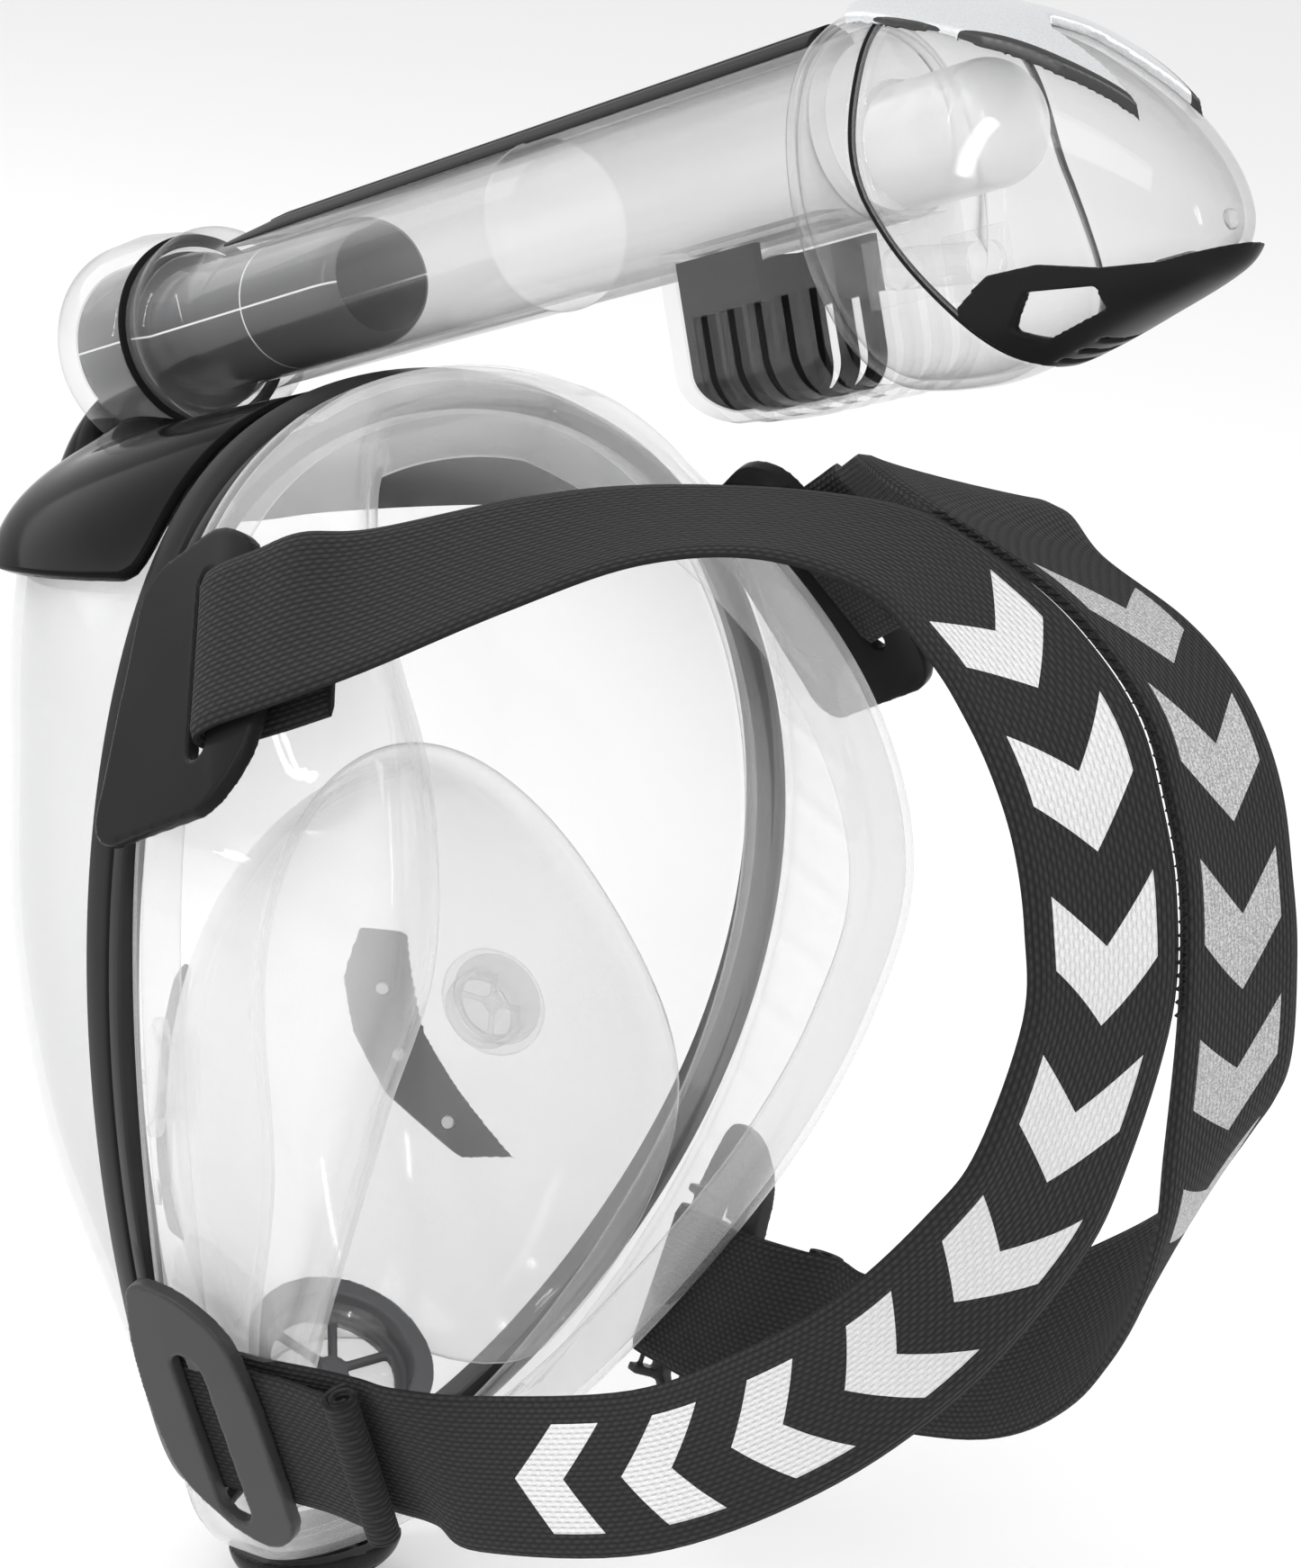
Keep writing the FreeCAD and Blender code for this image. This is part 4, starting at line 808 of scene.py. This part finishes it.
class SNORKEL_OT_tube(bpy.types.Operator):
    """Collar, seal, sleeve, clear tube and its black crown bar"""
    bl_idname = "snorkel.tube"
    bl_label = "Snorkel tube"

    def execute(self, context):
        looks = finishes()
        start, end = TUBE_START, TUBE_END
        r = tube_radius
        foot = [(start + 8 - 3.2 * math.cos(a), 21.2 + 1.2 * math.sin(a))
                for a in np.linspace(0, math.pi / 2, 6)]
        neck = [(start + 8 + 12 * f, 22.4 - (22.4 - r(start + 20)) * (f * f * (3 - 2 * f)))
                for f in np.linspace(0.08, 1, 12)]
        joint = [(12 - 1.6, r(12)), (12 - 0.9, r(12) + 0.35), (12 + 0.9, r(12) + 0.35), (12 + 1.6, r(12))]
        outer = [(start, 20.6), (start + 2, 21.2)] + foot[2:] + neck + joint + [(end, r(end))]
        inner = [(end, r(end) - TUBE_WALL), (start + 22, r(start) - TUBE_WALL),
                 (start + 12, r(start) - TUBE_WALL),
                 (start + 3, 17.6), (start, 17.6)]
        turned("tube_body", outer + inner, looks["tube"], "snorkel", "clear_pc", "snorkel_tube")
        turned("collar_shell", [(STUB_FACE + 0.2, 14.0), (STUB_FACE, 21.4), (STUB_FACE + 0.8, 23.0),
                                (STUB_FACE + 3, 24.2), (STUB_FACE + 14, 24.5), (COLLAR_END - 3, 23.2),
                                (COLLAR_END, 22.2), (COLLAR_END, 19.2), (STUB_FACE + 2.2, 19.2),
                                (STUB_FACE + 2.2, 14.0)], looks["tube"], "mask", "clear_pc", "elbow_collar")
        turned("collar_seal", [(COLLAR_END + 0.05, 22.0), (COLLAR_END + 0.4, 22.2), (COLLAR_END + 0.65, 22.0),
                               (COLLAR_END + 0.65, 19.3), (COLLAR_END + 0.05, 19.3)], looks["seal"], "mask",
               "seal_black", "collar_seal_ring")
        bore = r(start) - TUBE_WALL - 0.55
        turned("spigot_sleeve", [(STUB_FACE + 2.2, 18.7), (COLLAR_END - 2, 18.7), (COLLAR_END, bore),
                                 (SPIGOT_END - 6, bore), (SPIGOT_END - 3, bore - 0.5),
                                 (SPIGOT_END - 1, bore - 1.4),
                                 (SPIGOT_END, bore - 2.6), (STUB_FACE + 2.2, bore - 2.6)], looks["spigot"],
                                 "mask",
               "spigot_black", "tube_spigot")
        self.crown_bar(looks["stripe"])
        return {"FINISHED"}

    def crown_bar(self, material):
        """Half-round bar on the tube's crown: height falls as 1 - k^2 across it, width grows from a point."""
        s = np.linspace(-109, 101, 130)[:, None]
        grown = np.clip((s + 109) / 30, 0, 1)
        half = 0.5 + 4.9 * np.sqrt(grown * (2 - grown))
        lift = 0.3 + 2.0 * grown
        k = np.linspace(-1, 1, 15)[None, :]
        base = tube_radius(s) + 0.12
        x = half * k
        rest = np.sqrt(np.maximum(base ** 2 - x ** 2, 0))
        crown = on_tube(x, s, rest + lift * (1 - k ** 4) + 0.15)
        floor = on_tube(x[:, ::-1], s, rest[:, ::-1])
        piece = face_outwards(surface("crown_bar", np.concatenate((crown, floor), axis=1), wrap_columns=True,
                                      cap_ends=True))
        ridge_half = 0.42 * half
        kk = np.linspace(-1, 1, 9)[None, :]
        late = s > -86
        ridge = on_tube(ridge_half * kk, s, rest[:, 7:8] + lift + 0.1 + 0.55 * (1 - kk ** 2))
        under = on_tube(ridge_half * kk[:, ::-1], s, rest[:, 7:8] + lift - 0.5 + 0 * kk)
        grid = np.concatenate((ridge, under), axis=1)[late[:, 0]]
        fin = face_outwards(surface("crown_bar_fin", grid, wrap_columns=True, cap_ends=True))
        finish_piece(fin, material, "snorkel", "stripe_black")
        finish_piece(piece, material, "snorkel", "stripe_black", "tube_stripe")


def seam_station(turn, shift):
    """Where the head's curved seam crosses each direction: settles between station and height in a few
    rounds."""
    s = np.full_like(turn, 132.0)
    for _ in range(30):
        s = 0.5 * s + 0.5 * (through(POD_SEAM, pod_form(s, turn)[1]) + shift)
    return s


class SNORKEL_OT_cap(bpy.types.Operator):
    """Snorkel head: base, dome, seam, silver bar and black lower trim"""
    bl_idname = "snorkel.cap"
    bl_label = "Snorkel head"

    def execute(self, context):
        looks = finishes()
        turn = circle(128)
        seam_low, seam_high = seam_station(turn, -0.5), seam_station(turn, 0.5)
        k = np.linspace(0, 1, 26)[:, None]
        s = POD_START + (seam_low - POD_START) * k
        x, u = pod_form(s, turn[None, :])
        wall = on_tube(x, s, u)
        hole = tube_radius(POD_START) + 0.3
        rings = []
        for share in (0.0, 0.5, 0.9):
            x0, u0 = pod_form(np.full_like(turn, POD_START), turn)
            direction = np.arctan2(u0, x0)
            x_hole, u_hole = hole * np.cos(direction), hole * np.sin(direction)
            rings.append(on_tube(x_hole + (x0 - x_hole) * share, POD_START + 0 * turn,
                                 u_hole + (u0 - u_hole) * share))
        grid = np.concatenate((np.stack(rings), wall), axis=0)
        base = face_outwards(surface("head_base", grid, wrap_columns=True))
        thicken(base, POD_WALL)
        finish_piece(base, looks["head"], "snorkel", "clear_pc", "cap_base")
        tip = POD_STATIONS[-1, 0]
        k = np.sin(np.linspace(0, math.pi / 2, 60))[:, None]
        s = seam_high + (tip - seam_high) * k
        x, u = pod_form(s, turn[None, :])
        closing = on_tube(np.zeros_like(turn), tip + 0.4, np.full_like(turn, -31.5))
        dome = face_outwards(surface("head_dome", np.concatenate((on_tube(x, s, u), closing[None]), axis=0),
                                     wrap_columns=True))
        thicken(dome, POD_WALL)
        finish_piece(dome, looks["head"], "snorkel", "clear_pc", "cap_dome")
        self.seam_cord(turn, looks["seal"])
        softened("cap_top_bar", "silver_bar", 0.4, 5, "bar", "snorkel", "bar_silver")
        softened("cap_lower_trim", "lower_trim", 0.4, 5, "trim", "snorkel", "trim_black")
        return {"FINISHED"}

    def seam_cord(self, turn, material):
        """Thin black gasket: a small square section carried round the seam."""
        section = ((-0.2, -1.2), (-0.2, 0.25), (0.2, 0.25), (0.2, -1.2))
        rings = []
        for ds, grow in section:
            s = seam_station(turn, ds)
            x, u = pod_form(s, turn, grow)
            rings.append(on_tube(x, s, u))
        piece = face_outwards(surface("head_gasket", np.stack(rings, axis=1), wrap_rows=True,
                                      wrap_columns=True))
        finish_piece(piece, material, "snorkel", "seal_black", "cap_gasket")


class SNORKEL_OT_vent(bpy.types.Operator):
    """Slotted vent block under the tube"""
    bl_idname = "snorkel.vent"
    bl_label = "Vent block"

    def execute(self, context):
        finish_piece(merged_copy("vent_block", "vent_box"), finishes()["head"], "snorkel", "clear_pc",
                     "vent_block")
        finish_piece(merged_copy("vent_liner", "vent_inner"), finishes()["liner"], "snorkel", "liner_black",
                     "vent_liner")
        return {"FINISHED"}


class SNORKEL_OT_float(bpy.types.Operator):
    """Float, its sealing disc and guide inside the head"""
    bl_idname = "snorkel.float"
    bl_label = "Float"

    def execute(self, context):
        looks = finishes()
        body = [(FLOAT_START, 0)] + [(FLOAT_START, FLOAT_RADIUS - 1), (FLOAT_START + 1, FLOAT_RADIUS),
                                     (FLOAT_END - 8, FLOAT_RADIUS)]
        body += [(FLOAT_END - 8 + 8 * math.sin(a), FLOAT_RADIUS * math.cos(a) ** 0.7)
                 for a in np.linspace(0.15, math.pi / 2 - 0.02, 9)] + [(FLOAT_END, 0)]
        turned("float_bulb", body, looks["float"], "float", "float_white", "float_body", lift=FLOAT_U,
               count=64)
        seal = [(FLOAT_START - 2.5, 0), (FLOAT_START - 2.5, 12.2), (FLOAT_START - 1.6, 12.7),
                (FLOAT_START - 0.3, 12.4), (FLOAT_START - 0.3, 0)]
        turned("float_disc", seal, looks["flap"], "float", "flap_silicone", "float_seal", lift=FLOAT_U,
               count=64)
        finish_piece(merged_copy("float_guide", "float_cradle"), looks["valve"], "snorkel", "valve_clear",
                     "float_guide")
        return {"FINISHED"}


class SNORKEL_OT_chin(bpy.types.Operator):
    """Chin outlet valve and drain cover"""
    bl_idname = "snorkel.chin"
    bl_label = "Chin valve"

    def execute(self, context):
        softened("chin_valve_housing", "chin_housing", 0.5, 4, "chin_valve", "mask", "valve_grey")
        softened("chin_valve_flap", "chin_flap_disc", 0.3, 2, "flap", "chin_flap", "flap_silicone")
        softened("chin_cover", "drain_cover", 0.5, 5, "chin", "mask", "chin_black")
        return {"FINISHED"}


class SNORKEL_OT_tabs(bpy.types.Operator):
    """Upper strap tabs and lower buckles"""
    bl_idname = "snorkel.tabs"
    bl_label = "Tabs and buckles"

    def execute(self, context):
        for side in ("left", "right"):
            softened("upper_tab_" + side, "brow_tab_" + side, 0.5, 8, "tab", "mask", "tab_black")
            softened("lower_buckle_" + side, "cheek_buckle_" + side, 0.45, 8, "buckle", "mask", "buckle_grey")
        return {"FINISHED"}


def strap_path():
    """Both edges of a strap as smooth curves in millimetres, and the distance along it."""
    half = STRAP_WIDTH / 2
    pairs = [(UPPER.at(half + l, m, n), UPPER.at(-half + l, m, n)) for m, n, l in UPPER_LOOP]
    pairs += list(zip(np.array(SEAM_EDGE, float), np.array(FREE_EDGE, float)))
    pairs += [(LOWER.at(half + l, m, n), LOWER.at(-half + l, m, n)) for m, n, l in LOWER_LOOP]
    seam = spline([a for a, _ in pairs], 8)
    free = spline([b for _, b in pairs], 8)
    middle = (seam + free) / 2
    along = run_length(middle)
    return seam, free, middle, along


def strap_grid():
    """Webbing: a flat section with thicker selvedges carried between the two edge curves."""
    seam, free, middle, along = strap_path()
    across = unit_rows(free - seam)
    forward = np.gradient(middle, axis=0)
    normal = unit_rows(np.cross(across, forward))
    thick = settings().strap_thickness / MM / 2
    width = np.linalg.norm(free - seam, axis=1)
    a = np.concatenate((np.linspace(-0.5, 0.5, 15), np.linspace(0.5, -0.5, 15)))
    selvedge = 1 + 0.30 * np.exp(-((np.abs(a) - 0.465) / 0.03) ** 2)
    round_off = np.where(np.abs(a) > 0.499, 0.35, 1.0)
    b = np.concatenate((np.ones(15), -np.ones(15))) * thick * selvedge * round_off
    grid = (middle[:, None] + across[:, None] * (a[None, :, None] * width[:, None, None])
            + normal[:, None] * b[None, :, None])
    u = np.concatenate(((np.linspace(0, 1, 15)) * STRAP_WIDTH * MM,
                        1.0 + np.linspace(1, 0, 15) * STRAP_WIDTH * MM,
                        [1.0]))
    uv = np.stack(np.broadcast_arrays(u[None, :], (along * MM)[:, None]), axis=-1)
    return grid, uv, along[-1] * MM


def hem_grid():
    """Rolled end of the strap: a spiral whose radius grows with its turn, carried across the strap."""
    m0, n0, l0 = HEM_PLACE
    turn = np.linspace(0, 3.4 * math.pi, 60)
    radius = 0.9 + 2.3 * turn / turn[-1]
    inner = np.stack((radius * np.cos(turn), radius * np.sin(turn)), axis=1)
    outer = inner * (1 + 1.1 / radius)[:, None]
    loop = np.concatenate((outer, inner[::-1]))
    half = STRAP_WIDTH / 2 + 0.6
    lengths = np.linspace(-half, half, 24)
    swell = 1 + 0.05 * np.cos(lengths / half * math.pi / 2)
    rolled = loop[None] * swell[:, None, None]
    grid = LOWER.at((lengths + l0)[:, None, None], m0 + rolled[..., :1], n0 + rolled[..., 1:])
    u = np.concatenate((np.linspace(0, 0.03, len(loop)), [0.03]))
    uv = np.stack(np.broadcast_arrays(lengths[:, None] * MM + 0.018, u[None, :]), axis=-1)
    return grid, uv


class SNORKEL_OT_straps(bpy.types.Operator):
    """Split elastic head strap with rolled ends and the centre seam"""
    bl_idname = "snorkel.straps"
    bl_label = "Head strap"

    def execute(self, context):
        looks = finishes()
        grid, uv, length = strap_grid()
        hem, hem_uv = hem_grid()
        for side, sign in (("left", 1.0), ("right", -1.0)):
            turn_over = np.array([sign, 1.0, 1.0])
            band = face_outwards(surface("strap_" + side, grid * turn_over, wrap_columns=True, cap_ends=True,
                                         uv=uv, flip=sign < 0))
            finish_piece(band, looks["strap_" + side], "mask", "webbing_black", "head_strap_" + side)
            roll = surface("strap_roll_" + side, hem * turn_over, wrap_columns=True, cap_ends=True, uv=hem_uv,
                           flip=sign < 0)
            face_outwards(roll)
            finish_piece(roll, looks["strap_" + side], "mask", "webbing_black", "strap_hem_" + side)
        self.centre_seam(looks["thread"])
        return {"FINISHED"}

    def centre_seam(self, material):
        """Flat overlock seam: a thread that swings from side to side as a triangle wave down the joined
        edges."""
        path = spline([(0, y, z) for _, y, z in SEAM_EDGE[4:11]], 40)
        forward = np.gradient(path, axis=0)
        normal = unit_rows(np.cross(np.array([1.0, 0, 0]), forward))
        if normal[len(normal) // 2, 1] < 0:
            normal = -normal
        along = run_length(path)
        count = int(along[-1] / 0.35)
        at = np.linspace(0, along[-1], count)
        path, normal = (np.stack([np.interp(at, along, v[:, k]) for k in range(3)], axis=1)
                        for v in (path, normal))
        swing = np.abs((at / 2.4) % 1.0 - 0.5) * 4.0 - 1.0
        centre = path + normal * 1.25
        centre[:, 0] += swing * 1.3
        turn = circle(6)
        side = np.array([1.0, 0, 0])
        grid = (centre[:, None] + 0.32 * (np.cos(turn)[None, :, None] * side + np.sin(turn)[None, :, None]
                                          * normal[:, None]))
        thread = face_outwards(surface("strap_seam_thread", grid, wrap_columns=True, cap_ends=True))
        finish_piece(thread, material, "mask", "webbing_black")


class SNORKEL_OT_stage(bpy.types.Operator):
    """Pale floor, soft light and camera"""
    bl_idname = "snorkel.stage"
    bl_label = "Studio"

    def execute(self, context):
        scene = context.scene
        y = np.linspace(-FLOOR_REACH, FLOOR_REACH, 24)
        grid = np.stack(np.broadcast_arrays(y[:, None], y[None, :], CAD_BOX[0].z - FLOOR_GAP), axis=-1) / MM
        floor = surface("studio_floor", grid, flip=True)
        look = Finish("studio_floor", tuple(settings().floor_colour), roughness=0.7)
        look.link("Roughness", look.noise(look.place(), 3.0) * 0.05 + 0.68)
        floor.data.materials.append(look.material)
        floor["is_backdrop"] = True
        world = bpy.data.worlds.new("studio")
        world.use_nodes = True
        world.node_tree.nodes["Background"].inputs[0].default_value = (1, 1, 1, 1)
        world.node_tree.nodes["Background"].inputs[1].default_value = 0.95
        scene.world = world
        for name, place, size, power in (("key", (0.9, 0.2, 1.3), (0.9, 0.9), 10.0),
                                         ("fill", (-1.2, 0.9, 0.8), (1.1, 1.1), 5.0),
                                         ("front", (0.3, -1.4, 0.7), (1.0, 1.0), 5.0),
                                         ("strip_side", (1.3, -0.5, 0.6), (0.07, 0.9), 6.0),
                                         ("strip_back", (0.5, 1.4, 0.9), (0.07, 0.9), 5.0)):
            lamp = bpy.data.lights.new(name, "AREA")
            lamp.shape, lamp.size, lamp.size_y, lamp.energy = "RECTANGLE", size[0], size[1], power
            light = bpy.data.objects.new(name, lamp)
            light.location = place
            light.rotation_euler = (-Vector(place)).to_track_quat("-Z", "Y").to_euler()
            scene.collection.objects.link(light)
        self.camera(scene)
        scene.view_settings.view_transform = "Standard"
        scene.cycles.transparent_max_bounces = 40
        return {"FINISHED"}

    def camera(self, scene):
        """Looks from behind the wearer's left shoulder, with a small roll."""
        a, e, r = VIEW_AZIMUTH, VIEW_ELEVATION, VIEW_ROLL
        back = Vector((math.sin(a) * math.cos(e), -math.cos(a) * math.cos(e), math.sin(e)))
        level = Vector((math.cos(a), math.sin(a), 0.0))
        rise = back.cross(level)
        right = level * math.cos(r) + rise * math.sin(r)
        up = back.cross(right)
        lens = bpy.data.cameras.new("studio_camera")
        lens.lens, lens.clip_start, lens.clip_end = VIEW_LENS, 0.01, 20.0
        camera = bpy.data.objects.new("studio_camera", lens)
        camera.matrix_world = Matrix.Translation(VIEW_PLACE) @ Matrix((right, up, back)).transposed().to_4x4()
        scene.collection.objects.link(camera)
        scene.camera = camera


OPERATORS = (SNORKEL_OT_visor, SNORKEL_OT_ring, SNORKEL_OT_skirt, SNORKEL_OT_pocket, SNORKEL_OT_socket,
             SNORKEL_OT_tube, SNORKEL_OT_cap, SNORKEL_OT_vent, SNORKEL_OT_float, SNORKEL_OT_chin,
             SNORKEL_OT_tabs, SNORKEL_OT_straps, SNORKEL_OT_stage)


class SNORKEL_PT_panel(bpy.types.Panel):
    """Lists every piece and the sizes that can change"""
    bl_label = "Snorkel Mask"
    bl_idname = "SNORKEL_PT_panel"
    bl_space_type = "VIEW_3D"
    bl_region_type = "UI"
    bl_category = "Snorkel Mask"

    def draw(self, context):
        for name in SnorkelMaskSettings.__annotations__:
            self.layout.prop(context.scene.snorkel_mask, name)
        for operator in OPERATORS:
            self.layout.operator(operator.bl_idname)


CLASSES = (SnorkelMaskSettings,) + OPERATORS + (SNORKEL_PT_panel,)


def register():
    for cls in CLASSES:
        bpy.utils.register_class(cls)
    bpy.types.Scene.snorkel_mask = bpy.props.PointerProperty(type=SnorkelMaskSettings)


def unregister():
    del bpy.types.Scene.snorkel_mask
    for cls in reversed(CLASSES):
        bpy.utils.unregister_class(cls)


def main():
    register()
    for operator in OPERATORS:
        group, name = operator.bl_idname.split(".")
        getattr(getattr(bpy.ops, group), name)()
    boxes = {"cad": [list(corner) for corner in CAD_BOX], "visual": [list(corner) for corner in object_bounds()]}


if __name__ == "__main__":
    main()
